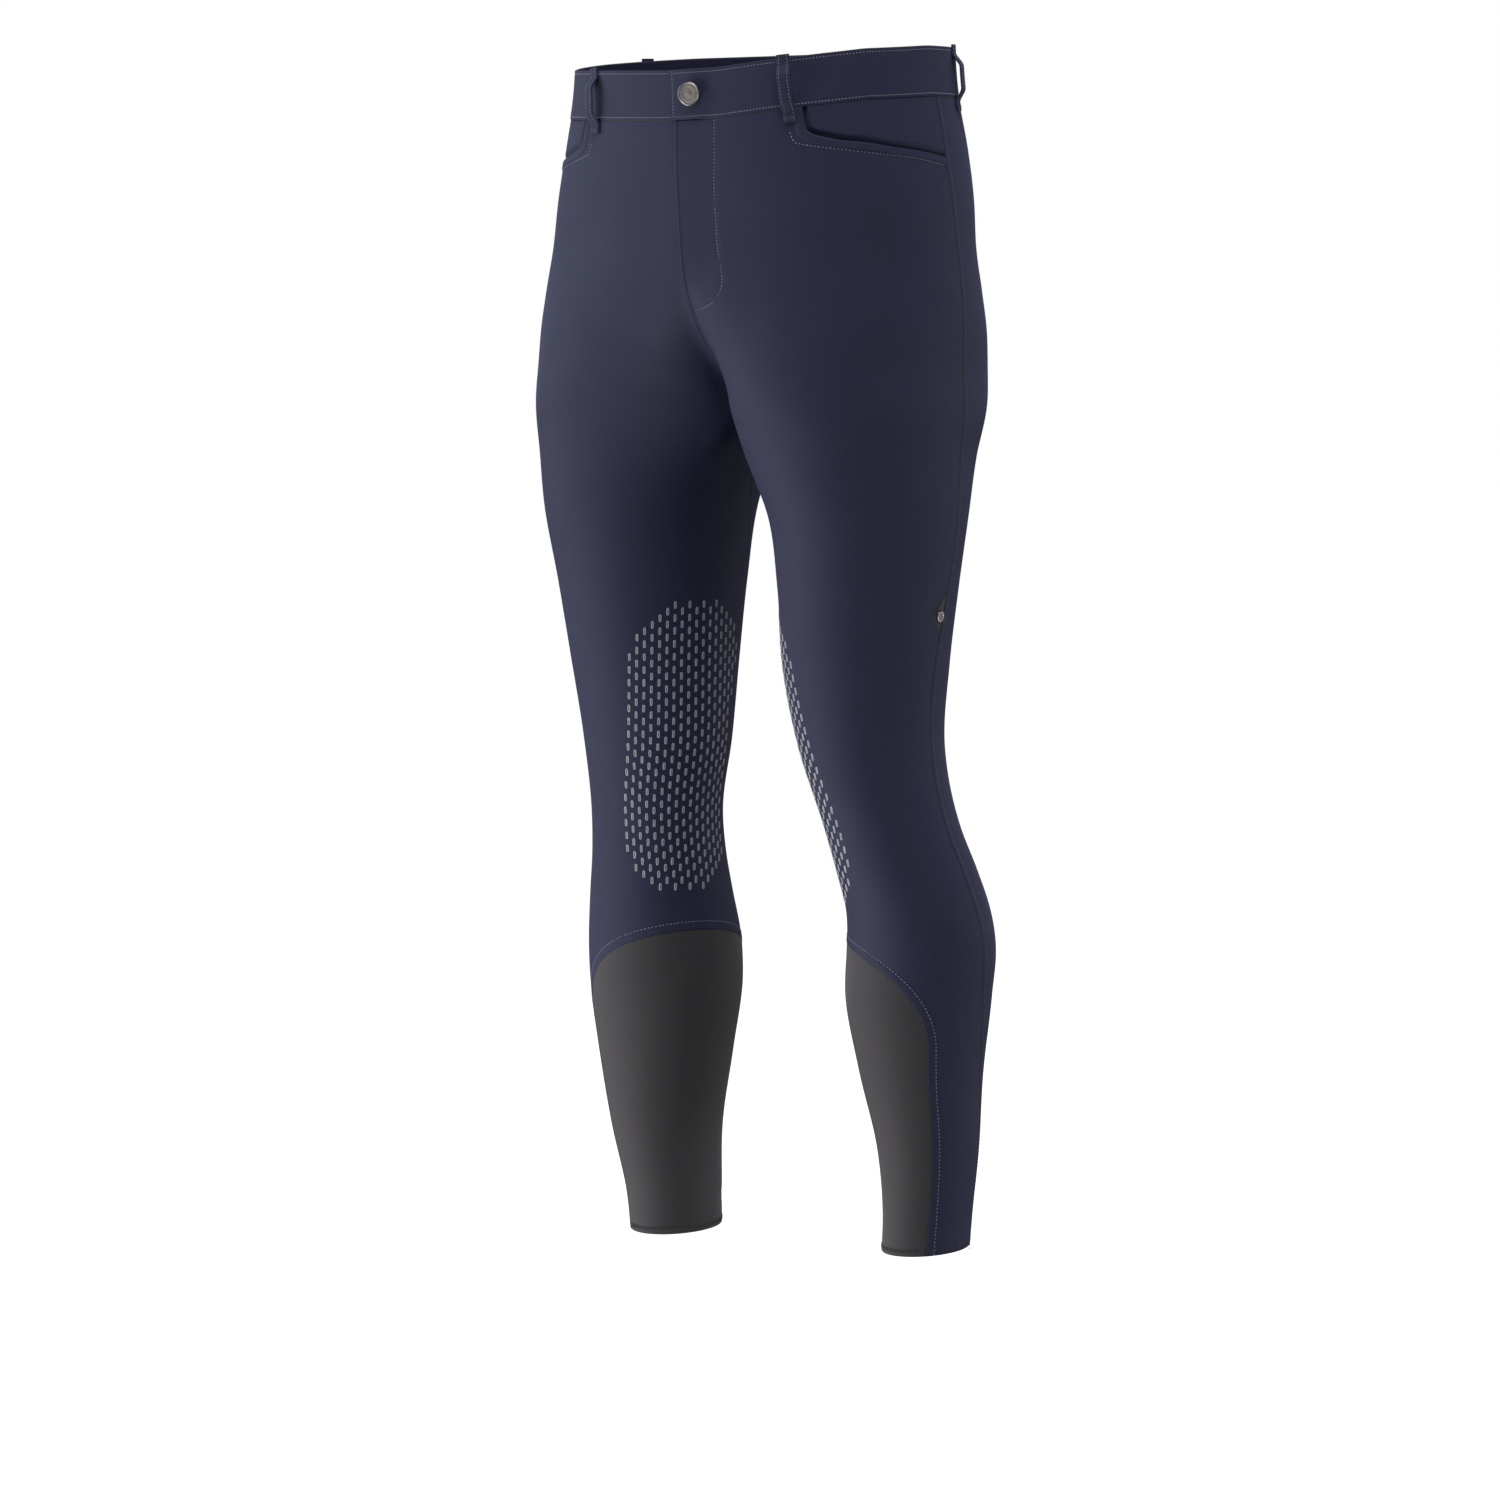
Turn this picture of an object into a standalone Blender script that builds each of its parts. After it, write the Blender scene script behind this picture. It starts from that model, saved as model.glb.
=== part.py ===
"""Riding breeches in worn form: hollow cloth walls, panel by panel.

Metres, +Z up, the front faces -Y and the wearer's left is +X. The origin is the
centre of the waist opening, level with the middle of the front waistband.

Each half of the garment is one skin, a function of an angle round the section
(0 front, 90 outer side, 180 back, -90 inner leg) and of the height. Above the crotch
the skin stops at the centre plane; below it the section closes round the leg. A panel
is a closed loop of seams on that skin, filled with triangles and given its wall.
"""

import math

import bmesh
import bpy
import numpy as np
from mathutils import Vector
from mathutils.geometry import delaunay_2d_cdt

MM = 0.001
RIGHT, LEFT = -1, 1

# ---------------------------------------------------------------- driving sizes
CLOTH = 1.5 * MM  # wall of the body fabric
FACING = 1.2 * MM  # wall of the pocket facing
BAND = 2.2 * MM  # wall of the doubled waistband
LOOP_CLOTH = 1.6 * MM  # wall of a belt loop
SEAM_GAP = 0.3 * MM

BAND_PROUD = 0.5 * MM  # waistband face above the panels' face
BAND_HEIGHT = 38.5 * MM
FACING_DEPTH = 2.7 * MM  # facing's face behind the front panel's face

FLY_LAP = 2.0 * MM  # rise of the lapped left front
FLY_LAP_FULL, FLY_LAP_END = 17 * MM, 34 * MM  # widths with full and with no rise
FLY_COLUMNS = MM * np.array((8.5, 17, 25.5, 34, 45))  # distances of the fly's own rows of points
FLY_FOOT, FLY_FADE = -141 * MM, -163 * MM  # heights where the rise ends
UNDERLAP = 12 * MM  # the right front under the left one
UNDERLAP_FOOT, UNDERLAP_POINT = -120 * MM, -134 * MM
BAND_LAP = 2.5 * MM
BAND_LAP_FULL, BAND_LAP_END = 18 * MM, 36 * MM
BAND_COLUMNS = MM * np.array((8, 18, 27, 36, 50))
BAND_END = 3 * MM  # left band's end past the centre

CROTCH = -240 * MM  # where the two leg sections part
HEM_FRONT = -901 * MM
HEM_BACK_RISE = 3 * MM
VALLEY = 12 * MM  # width of the rounding beside the centre plane
VALLEY_STEEPEST = 2.2

LOOP_WIDTH, LOOP_ABOVE, LOOP_BELOW = 10.5 * MM, 2 * MM, 11 * MM
LOOP_STAND = 6.6 * MM  # gap between a loop's back and the panels' face
LOOP_REST = 0.9 * MM

BUTTON_X, BUTTON_RADIUS, BUTTON_THICK = 12.5 * MM, 8.75 * MM, 3.0 * MM
STUD_RADIUS, STUD_THICK = 4.5 * MM, 1.4 * MM

# Heights are those of level sections; the other columns are distances in each one.
SECTION_COLUMNS = ("z", "centre_x", "outer", "inner", "centre_y", "front", "back", "square")
SECTIONS = MM * np.array((
    (45, 0, 158, 158, 0, 111, 112, 20),
    (0, 0, 161, 161, 0, 112, 117, 20),
    (-40, 0, 168, 168, 0, 113, 127, 20),
    (-80, 0, 175, 168, 0, 112, 136, 19),
    (-120, 12, 168, 128, 0, 111, 142, 17),
    (-150, 38, 146, 104, 0, 110, 144, 13),
    (-180, 64, 122, 95, 0, 108, 142, 9),
    (-210, 83, 103, 92, 0, 106, 135, 5),
    (-240, 94, 94, 94, 0, 103, 125, 2),
    (-280, 100, 86, 87, -1, 97, 107, 0),
    (-320, 104, 80, 79, -1, 91, 92, 0),
    (-380, 103, 71, 71, 0, 79, 78, 0),
    (-440, 101, 64, 64, 1, 69, 69, 0),
    (-505, 104, 56.5, 56.5, 3, 60, 60, 0),
    (-566, 110, 51, 51, 8, 55, 55, 0),
    (-600, 114, 52.5, 52.5, 14, 56, 56, 0),
    (-630, 118, 55.5, 55.5, 21, 57.5, 57.5, 0),
    (-665, 119, 58.5, 58.5, 27, 59.5, 59.5, 0),
    (-700, 118, 57.5, 57.5, 29, 59, 59, 0),
    (-756, 118, 49.7, 49.7, 31, 52, 52, 0),
    (-820, 118, 40.4, 40.4, 31, 43, 43, 0),
    (-870, 114, 35, 35, 30, 38.5, 38.5, 0),
    (-915, 113, 33.8, 33.8, 30, 37.5, 37.5, 0),
))
# Each leg's own shift, and how much fuller it is than the mean section.
STANCE_COLUMNS = ("z", "right_x", "right_y", "right_fuller", "left_x", "left_y", "left_fuller")
STANCE = MM * np.array((
    (45, 0, 0, 0, 0, 0, 0),
    (-40, 0, 0, 0, 0, 0, 0),
    (-120, -4, 0, 0, -4, 0, 0),
    (-200, -7, 0, 0, -7, 0, 0),
    (-240, -8, 0, 0, -8, 0, 0),
    (-280, -8, 0, 0, -6, 1, -3),
    (-320, -7, -1, 0.5, -3, 2, -5.5),
    (-380, -6, -3, 1, -3.5, 4, -3.5),
    (-440, -5, -5, 1, -5, 5, -1),
    (-505, 0, -6, 1, -4.5, 6, -1),
    (-566, 2, -7, -0.5, 5, 7, 0.5),
    (-600, 3.5, -7.5, -0.5, 10, 8, 1),
    (-630, 4.5, -8, 0.5, 11.5, 8, 0),
    (-700, 4, -9, 2.8, 5.5, 9, -0.8),
    (-760, 3, -10, 3, 6, 10, -1.5),
    (-820, 5, -11, 2.4, 12, 11, -1.6),
    (-870, 9.5, -12, 1.6, 15.5, 12, -1.2),
    (-915, 12, -13, 0.6, 12.5, 13, -0.8),
))

RIGHT_SHIFT, RIGHT_FULLER, LEFT_SHIFT, LEFT_FULLER = slice(0, 2), 2, slice(3, 5), 5  # columns after z

# Waist seam height at each angle: the band dips at the front and rides up on the left.
WAIST_ANGLES = (0, 15, 30, 45, 60, 90, 130, 180)
WAIST_HEIGHTS = {
    LEFT: (-19, -16.5, -11, -6.5, -2.5, 0, -2, -5),
    RIGHT: (-19, -19, -19, -19, -18.5, -14, -9, -5),
}

OUTSEAM = ((60, 94), (0, 94), (-60, 95), (-120, 98), (-300, 102), (-350, 103), (-400, 98),
           (-450, 92.5), (-540, 92), (-620, 91), (-670, 93), (-720, 100), (-780, 112),
           (-840, 118), (-915, 122))
INSEAM = ((-240, -90), (-262, -93), (-300, -104), (-350, -117), (-420, -127),
          (-520, -131), (-640, -133), (-760, -133))
POCKET_MOUTH = ((39.4, 0), (39.6, 10), (40, 18), (42.5, 22.5), (50, 28.5), (67, 36.5),
                (80, 41), (94.5, 47))  # angle, drop below the waist seam
POCKET_RADIUS = 127 * MM
POCKET_UNDER = 10 * MM  # the facing's margin behind the mouth
GUSSET_TOP, GUSSET_FOOT = -381 * MM, -415 * MM
GUSSET_APEX = (87.0, -400.5)  # angle, height

ARCH_ANGLE, ARCH_SPAN = -65, 110  # middle and half width of the calf panel's arch
ARCH_TOP, ARCH_DROP = -656 * MM, 80 * MM
CALF_FRONT_HEM, CALF_BACK_HEM = 40, -172

LOOP_COLUMNS = ("node", "side", "angle of the foot", "lean of the top towards the front, in degrees")
LOOPS = (("belt_loop_front_right", RIGHT, 33.5, 0), ("belt_loop_front_left", LEFT, 36, 2.8),
         ("belt_loop_side_right", RIGHT, 112, 0), ("belt_loop_side_left", LEFT, 112, 0),
         ("belt_loop_back", LEFT, 180, 0))

# ---------------------------------------------------------------- triangle sizes
ROW_STEP = 24 * MM
EDGE_MARGIN = 4.5 * MM
SEAM_STEP = 19 * MM
CURVE_STEP = 11 * MM
LEG_TURN, HIP_TURN = math.radians(12), math.radians(6.5)
HIP_FOOT = -250 * MM

NAVY = ("navy_cloth", (0.038, 0.041, 0.075), 0.62, 0.0)
CHARCOAL = ("charcoal_cloth", (0.032, 0.031, 0.034), 0.7, 0.0)
SILVER = ("silver_metal", (0.62, 0.60, 0.57), 0.32, 1.0)


# ---------------------------------------------------------------- the skin
def between_rows(table, z):
    """Each column of the table at these heights, on one smooth curve through its rows."""
    level, values = -table[:, 0], table[:, 1:]
    span = np.diff(level)
    rate = np.diff(values, axis=0) / span[:, None]
    middle = (rate[:-1] * span[1:, None] + rate[1:] * span[:-1, None]) / (span[:-1] + span[1:])[:, None]
    slope = np.vstack((rate[:1], middle, rate[-1:]))
    at = -np.asarray(z, float)
    row = np.clip(np.searchsorted(level, at) - 1, 0, len(level) - 2)
    width = span[row][..., None]
    u = (at - level[row])[..., None] / width
    start = (2 * u**3 - 3 * u**2 + 1) * values[row] + (u**3 - 2 * u**2 + u) * width * slope[row]
    return start + (3 * u**2 - 2 * u**3) * values[row + 1] + (u**3 - u**2) * width * slope[row + 1]


def fade(value, start, end):
    """0 at the start, 1 at the end, and a smooth S between them."""
    u = np.clip((np.asarray(value, float) - start) / (end - start), 0, 1)
    return u * u * (3 - 2 * u)


def section(side, angle, z):
    """A point of one half's section, before its stance: x is the distance from the centre."""
    centre_x, outer, inner, centre_y, front, back, square = np.moveaxis(between_rows(SECTIONS, z), -1, 0)
    sine, cosine = np.sin(angle), np.cos(angle)
    fuller = between_rows(STANCE, z)[..., RIGHT_FULLER if side == RIGHT else LEFT_FULLER]
    corner = square / MM / 1000
    girth = (1 - corner * np.cos(4 * angle)) / (1 - corner)
    reach = ((outer + inner) / 2 + (outer - inner) / 2 * sine + fuller) * girth
    depth = ((front + back) / 2 + (front - back) / 2 * cosine + fuller) * girth
    return np.stack((centre_x + reach * sine, centre_y - depth * cosine, z), -1)


def across(surface, angle, z):
    """The outward unit normal of a surface given as a function of angle and height."""
    turn, rise = 1e-4, 1e-5
    along = surface(angle + turn, z) - surface(angle - turn, z)
    up = surface(angle, z + rise) - surface(angle, z - rise)
    normal = np.cross(along, up)
    return normal / np.linalg.norm(normal, axis=-1, keepdims=True)


def rounded(side, angle, z):
    """The section with the valley at the centre plane filled to a round one."""
    angle, z = np.broadcast_arrays(np.asarray(angle, float), np.asarray(z, float))
    point = section(side, angle, z)
    normal = across(lambda a, h: section(side, a, h), angle, z)
    outward = normal * (0, 1, 1)
    size = np.linalg.norm(outward, axis=-1, keepdims=True)
    steep = np.minimum(np.abs(normal[..., :1]) / np.maximum(size, 1e-6), VALLEY_STEEPEST)
    near = np.clip(VALLEY - np.abs(point[..., :1]), 0, None)
    towards_centre = normal[..., :1] < 0
    return point + towards_centre * steep * near**2 / (2 * VALLEY) * outward / np.maximum(size, 1e-6)


def skin(side, angle, z):
    """A point of the cloth's outer face in the garment's own frame."""
    point = rounded(side, angle, z)
    stance = between_rows(STANCE, np.broadcast_to(z, point.shape[:-1]))
    shift = stance[..., RIGHT_SHIFT if side == RIGHT else LEFT_SHIFT]
    return point * (side, 1, 1) + np.concatenate((shift, np.zeros_like(shift[..., :1])), -1)


def outward(side, angle, z):
    """The unit normal of the cloth's outer face."""
    return side * across(lambda a, h: skin(side, a, h), angle, z)


def angle_at(side, x, z, back=False):
    """The angle where the section comes to this distance from the centre plane."""
    z = np.asarray(z, float)
    low, high = np.full(z.shape, -math.pi / 2), np.zeros(z.shape) + math.pi / 3
    for _ in range(44):
        middle = (low + high) / 2
        turned = math.pi - middle if back else middle
        beyond = section(side, turned, z)[..., 0] > x
        low, high = np.where(beyond, low, middle), np.where(beyond, middle, high)
    return math.pi - low if back else low


# ---------------------------------------------------------------- seams, as (angle, height) rows
def waist_height(side, angle):
    """The waist seam's height at an angle; past the centre it is the other half's."""
    angle = np.arctan2(np.sin(angle), np.cos(angle)) % (2 * math.pi)
    past = angle > 1.5 * math.pi
    turned = np.degrees(np.where(past, 2 * math.pi - angle, angle))
    own, other = (np.interp(turned, WAIST_ANGLES, WAIST_HEIGHTS[half]) for half in (side, -side))
    return MM * np.where(past, other, own)


def even(side, seam, step):
    """The seam with its points a step apart on the cloth."""
    seam = np.asarray(seam, float)
    fine = np.concatenate([np.linspace(a, b, 25)[:-1] for a, b in zip(seam[:-1], seam[1:])] + [seam[-1:]])
    length = np.linalg.norm(np.diff(skin(side, fine[:, 0], fine[:, 1]), axis=0), axis=1)
    length = np.concatenate(((0,), np.cumsum(length)))
    marks = np.linspace(0, length[-1], max(2, 1 + round(length[-1] / step)))
    return np.stack([np.interp(marks, length, fine[:, i]) for i in (0, 1)], 1)


def line_from(table, top, foot, count=60):
    """The part of a (height, degrees) table between two heights, as a seam."""
    table = np.array(table, float)
    z = np.linspace(top, foot, count)
    angle = np.interp(-z / MM, -table[:, 0], table[:, 1])
    return np.stack((np.radians(angle), z), 1)


def outseam_angle(z):
    return float(line_from(OUTSEAM, z, z, 1)[0, 0])


def outseam_knots(side):
    """Heights of the waist seam, pocket mouth, gusset top, gusset foot and hem on the outseam."""
    waist = float(waist_height(side, outseam_angle(0)))
    mouth = waist - POCKET_MOUTH[-1][1] * MM
    return waist, mouth, GUSSET_TOP, GUSSET_FOOT, float(hem_height(outseam_angle(HEM_FRONT)))


def outseam(side, first, last):
    """The outseam from one knot down to another, with the same points for every panel."""
    knots = outseam_knots(side)
    runs = [even(side, line_from(OUTSEAM, knots[i], knots[i + 1]), SEAM_STEP) for i in range(first, last)]
    return np.concatenate([run[:-1] for run in runs] + [runs[-1][-1:]])


def hem_height(angle):
    return HEM_FRONT + HEM_BACK_RISE * (1 - np.cos(angle))


def waist_knots(side):
    """Angles of the centre front, pocket mouth, outseam and centre back on the waist seam."""
    return 0.0, math.radians(POCKET_MOUTH[0][0]), outseam_angle(outseam_knots(side)[0]), math.pi


def waist_run(side, start, end):
    angle = np.linspace(start, end, 40)
    return even(side, np.stack((angle, waist_height(side, angle)), 1), SEAM_STEP)


def waist_seam(side, first, last, before=0.0):
    """The waist seam from one knot to another, and this far past the centre front."""
    knots = waist_knots(side)
    runs = [waist_run(side, knots[i], knots[i + 1]) for i in range(first, last)]
    if before:
        runs.insert(0, waist_run(side, float(angle_at(side, -before, 0.0)), 0.0))
    return np.concatenate([run[:-1] for run in runs] + [runs[-1][-1:]])


def hem(side, start, end):
    angle = np.linspace(start, end, 40)
    return even(side, np.stack((angle, hem_height(angle)), 1), CURVE_STEP)


def rise(side, top, foot=CROTCH, back=False):
    """The centre seam between two heights; its points crowd in as it turns under to the crotch."""
    z = foot + (top - foot) * np.linspace(1, 0, 90) ** 2
    angle = angle_at(side, 0.0, z, back)
    if foot == CROTCH:
        angle[-1] = math.radians(270 if back else -90)
    return even(side, np.stack((angle, z), 1), CURVE_STEP)


def arch(side, start, end):
    """The arch of the calf panel between two angles in degrees."""
    turn = np.linspace(start, end, 80)
    across_arch = np.clip((turn - ARCH_ANGLE) / ARCH_SPAN, -1, 1)
    z = ARCH_TOP - ARCH_DROP * (1 - np.sqrt(1 - across_arch**2))
    return even(side, np.stack((np.radians(turn), z), 1), CURVE_STEP)


def inseam_meets_arch():
    """Degrees and height of the point where the inseam runs into the arch."""
    turn = INSEAM[-1][1]
    across_arch = (turn - ARCH_ANGLE) / ARCH_SPAN
    return turn, ARCH_TOP - ARCH_DROP * (1 - math.sqrt(1 - across_arch**2))


def calf_seam(side, front):
    """The straight seam of the calf panel from the arch's foot down to the hem."""
    start = ARCH_ANGLE + (ARCH_SPAN if front else -ARCH_SPAN)
    end = math.radians(CALF_FRONT_HEM if front else CALF_BACK_HEM)
    ends = ((math.radians(start), ARCH_TOP - ARCH_DROP), (end, hem_height(end)))
    return even(side, np.linspace(*ends, 12), SEAM_STEP)


def inseam(side):
    return even(side, line_from(INSEAM, CROTCH, inseam_meets_arch()[1]), SEAM_STEP)


def pocket_mouth(side, extra=0.0):
    """The pocket's opening edge from the waist seam to the outseam, or a line beyond it."""
    turn, drop = np.array(POCKET_MOUTH, float).T
    angle = np.radians(turn)
    angle[-1] = outseam_angle(outseam_knots(side)[1])
    z = waist_height(side, angle) - drop * MM - extra * np.minimum(drop / 20, 1)
    z[-1] = outseam_knots(side)[1] - extra
    shift = extra / POCKET_RADIUS * np.clip((50 - turn) / 10, 0, 1)
    return even(side, np.stack((angle - shift, z), 1), CURVE_STEP)


def turned_back(seam):
    """A seam of the inner leg with its angles counted on past the back."""
    return seam + (2 * math.pi, 0)


def loop_of(*runs):
    """Seam runs that follow each other, as one closed loop without repeated corners."""
    points = np.concatenate([run[:-1] for run in runs])
    return points


# ---------------------------------------------------------------- walls
def drawn_in(side, loop, amount):
    """The loop moved in from its seams by half a seam gap, measured on the cloth."""
    point = skin(side, loop[:, 0], loop[:, 1])
    normal = outward(side, loop[:, 0], loop[:, 1])
    ahead = np.roll(point, -1, 0) - point
    ahead /= np.linalg.norm(ahead, axis=1, keepdims=True)
    behind = np.roll(ahead, 1, 0)
    inward_next = side * np.cross(normal, ahead)
    inward_last = side * np.cross(normal, behind)
    joined = inward_next + inward_last
    share = np.maximum(1 + np.sum(inward_next * inward_last, axis=1, keepdims=True), 0.35)
    move = joined / share * amount
    turn, drop = 1e-4, 1e-5
    along = (skin(side, loop[:, 0] + turn, loop[:, 1]) - skin(side, loop[:, 0] - turn, loop[:, 1])) / (2 * turn)
    down = (skin(side, loop[:, 0], loop[:, 1] + drop) - skin(side, loop[:, 0], loop[:, 1] - drop)) / (2 * drop)
    aa, ad, dd = (np.sum(p * q, axis=1) for p, q in ((along, along), (along, down), (down, down)))
    ma, md = np.sum(move * along, axis=1), np.sum(move * down, axis=1)
    bottom = aa * dd - ad * ad
    return loop + np.stack(((ma * dd - md * ad) / bottom, (md * aa - ma * ad) / bottom), 1)


def flat(points):
    """The points laid flat: an angle becomes its width on a section of middling radius."""
    size = between_rows(SECTIONS, points[:, 1])
    return np.stack((points[:, 0] * (size[:, 1] + size[:, 4]) / 2, points[:, 1]), 1)


def inside(points, loop, margin):
    """Which points lie in the loop and at least the margin away from its edges."""
    a, b = loop[None], np.roll(loop, -1, 0)[None]
    p = points[:, None]
    crosses = (a[..., 1] > p[..., 1]) != (b[..., 1] > p[..., 1])
    rise_of = np.where(b[..., 1] == a[..., 1], 1, b[..., 1] - a[..., 1])
    crossing = a[..., 0] + (p[..., 1] - a[..., 1]) * (b[..., 0] - a[..., 0]) / rise_of
    within = np.sum(crosses & (p[..., 0] < crossing), axis=1) % 2 == 1
    edge = b - a
    share = np.clip(np.sum((p - a) * edge, -1) / np.maximum(np.sum(edge * edge, -1), 1e-12), 0, 1)
    away = np.linalg.norm(p - a - share[..., None] * edge, axis=-1).min(axis=1)
    return within & (away > margin)


def grid_in(loop, row_step, hip_turn, leg_turn, fixed=None, clear=None):
    """Points on level rows inside the loop, closer round the hips than round the legs.

    The fixed points are kept instead of the rows' own wherever clear says so.
    """
    low, high = loop.min(axis=0), loop.max(axis=0)
    rows = np.arange(math.ceil(low[1] / row_step), math.floor(high[1] / row_step) + 1) * row_step
    points = []
    for number, z in enumerate(rows):
        turn = hip_turn if z > HIP_FOOT else leg_turn
        first = math.floor(low[0] / turn) + 0.5 * (number % 2)
        angle = np.arange(first, high[0] / turn + 1) * turn
        points.append(np.stack((angle, np.full(len(angle), z)), 1))
    points = np.concatenate(points)
    if fixed is not None:
        points = np.concatenate((points[~clear(*points.T)], fixed))
    return points[inside(flat(points), flat(loop), EDGE_MARGIN)]


def filled(loop, *grid):
    """(points, triangles) that fill the loop; the loop's own points come first."""
    points = np.concatenate((loop, grid_in(loop, *grid)))
    count = len(loop)
    edges = [(i, (i + 1) % count) for i in range(count)]
    spots = [Vector(p) for p in flat(points).tolist()]
    found = delaunay_2d_cdt(spots, edges, [], 1, 1e-9)
    triangles = np.array(found[2])
    back = np.array([sources[0] for sources in found[3]])
    return points, back[triangles]


def material_of(finish):
    name, colour, roughness, metallic = finish
    material = bpy.data.materials.get(name)
    if material is None:
        material = bpy.data.materials.new(name)
        material.use_nodes = True
        shader = material.node_tree.nodes["Principled BSDF"]
        shader.inputs["Base Color"].default_value = (*colour, 1)
        shader.inputs["Roughness"].default_value = roughness
        shader.inputs["Metallic"].default_value = metallic
        material.diffuse_color = (*colour, 1)
    return material


def add_object(name, points, faces, finish):
    mesh = bpy.data.meshes.new(name)
    mesh.from_pydata(points.tolist(), [], faces.tolist() if hasattr(faces, "tolist") else faces)
    tidy = bmesh.new()
    tidy.from_mesh(mesh)
    bmesh.ops.recalc_face_normals(tidy, faces=tidy.faces)
    tidy.to_mesh(mesh)
    tidy.free()
    mesh.shade_smooth()
    mesh.set_sharp_from_angle(angle=math.radians(40))
    mesh.materials.append(material_of(finish))
    thing = bpy.data.objects.new(name, mesh)
    bpy.context.collection.objects.link(thing)
    return thing


def off_centre(side, points, lap_foot):
    """The points with none below the lap nearer to the centre plane than half a seam gap."""
    shift = between_rows(STANCE, points[:, 2])[:, 0]
    distance = side * (points[:, 0] - shift)
    nearest = np.where(points[:, 2] < lap_foot, SEAM_GAP / 2, -UNDERLAP * 2)
    points[:, 0] = side * np.maximum(distance, nearest) + shift
    return points


def wall(name, side, loop, finish, thick=CLOTH, proud=None, step=ROW_STEP, own_points=(None, None), lap_foot=1.0):
    """A closed wall of cloth on the skin, inside the loop.

    proud gives its face's rise; lap_foot is the height below which it keeps to its own half.
    """
    loop = drawn_in(side, loop, SEAM_GAP / 2)
    points, triangles = filled(loop, step, HIP_TURN, LEG_TURN, *own_points)
    angle, z = points.T
    place, normal = skin(side, angle, z), outward(side, angle, z)
    height = (proud(angle, z) if proud else np.zeros(len(z)))[:, None]
    outer, inner = place + normal * height, place + normal * (height - thick)
    outer, inner = off_centre(side, outer, lap_foot), off_centre(side, inner, lap_foot)
    count, rim = len(points), len(loop)
    edge = np.arange(rim)
    following = (edge + 1) % rim
    sides = np.concatenate((
        np.stack((edge, following, following + count), 1),
        np.stack((edge, following + count, edge + count), 1),
    ))
    faces = np.concatenate((triangles, triangles[:, ::-1] + count, sides[:, ::-1]))
    return add_object(name, np.concatenate((outer, inner)), faces, finish)


# ---------------------------------------------------------------- the pieces
def side_name(side):
    return "left" if side == LEFT else "right"


def centre_distance(side, angle, z):
    return section(side, angle, z)[..., 0]


def fly_rise(angle, z):
    """How far the lapped left front stands off the skin."""
    width = 1 - fade(centre_distance(LEFT, angle, z), FLY_LAP_FULL, FLY_LAP_END)
    return FLY_LAP * width * fade(z, FLY_FADE, FLY_FOOT) * (np.abs(angle) < 1)


def band_rise(angle, z):
    """How far the left band's end stands off the skin."""
    width = 1 - fade(centre_distance(LEFT, angle, z), BAND_LAP_FULL, BAND_LAP_END)
    return BAND_PROUD + BAND_LAP * width * (np.abs(angle) < 1)


def lap_points(columns, rows):
    """The left half's own rows of points where its front laps, and the test for that place."""
    z, x = (grid.ravel() for grid in np.meshgrid(rows, columns))
    points = np.stack((angle_at(LEFT, x, z), z), 1)

    def clear(angle, height):
        near = centre_distance(LEFT, angle, height) < columns[-1] + 7 * MM
        return near & (height > rows.min() - 7 * MM) & (np.abs(angle) < 1)

    return points, clear


def plumb(side, start_x, end_x, top, foot):
    """A line down the cloth that keeps or changes evenly its distance from the centre plane."""
    z = np.linspace(top, foot, 30)
    return even(side, np.stack((angle_at(side, np.linspace(start_x, end_x, 30), z), z), 1), SEAM_STEP)


def fly_edge(side):
    """The front edge from the waist seam to the crotch, read downwards."""
    top = float(waist_height(side, 0.0))
    if side == LEFT:
        return np.concatenate((rise(LEFT, top, UNDERLAP_POINT)[:-1], rise(LEFT, UNDERLAP_POINT)))
    start = waist_seam(RIGHT, 0, 1, UNDERLAP)[0, 1]
    straight = plumb(RIGHT, -UNDERLAP, -UNDERLAP, start, UNDERLAP_FOOT)
    slant = plumb(RIGHT, -UNDERLAP, 0.0, UNDERLAP_FOOT, UNDERLAP_POINT)
    return np.concatenate((straight[:-1], slant[:-1], rise(RIGHT, UNDERLAP_POINT)))


def gusset_edge():
    """The notch that the gusset fills in the left front's outseam, read downwards."""
    tip = (math.radians(GUSSET_APEX[0]), GUSSET_APEX[1] * MM)
    return even(LEFT, ((outseam_angle(GUSSET_TOP), GUSSET_TOP), tip, (outseam_angle(GUSSET_FOOT), GUSSET_FOOT)),
                CURVE_STEP)


def front_panel(side):
    """Front: waist, pocket mouth, outseam, hem, calf panel seams, inseam, centre seam."""
    centre = fly_edge(side)
    mouth = pocket_mouth(side)
    waist = waist_seam(side, 0, 1, UNDERLAP if side == RIGHT else 0)
    down = outseam(side, 1, 4)
    if side == LEFT:
        down = np.concatenate((outseam(side, 1, 2)[:-1], gusset_edge()[:-1], outseam(side, 3, 4)))
    foot = hem(side, down[-1, 0], math.radians(CALF_FRONT_HEM))
    turn, _ = inseam_meets_arch()
    over = arch(side, ARCH_ANGLE + ARCH_SPAN, turn)
    loop = loop_of(waist, mouth, down, foot, calf_seam(side, True)[::-1], over, inseam(side)[::-1], centre[::-1])
    if side == RIGHT:
        return wall("front_right", side, loop[::-1], NAVY, lap_foot=UNDERLAP_POINT)
    rows = np.linspace(waist_height(LEFT, 0.0) - ROW_STEP / 2, FLY_FADE - ROW_STEP / 4, 8)
    return wall("front_left", side, loop[::-1], NAVY, proud=fly_rise, own_points=lap_points(FLY_COLUMNS, rows))


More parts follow.
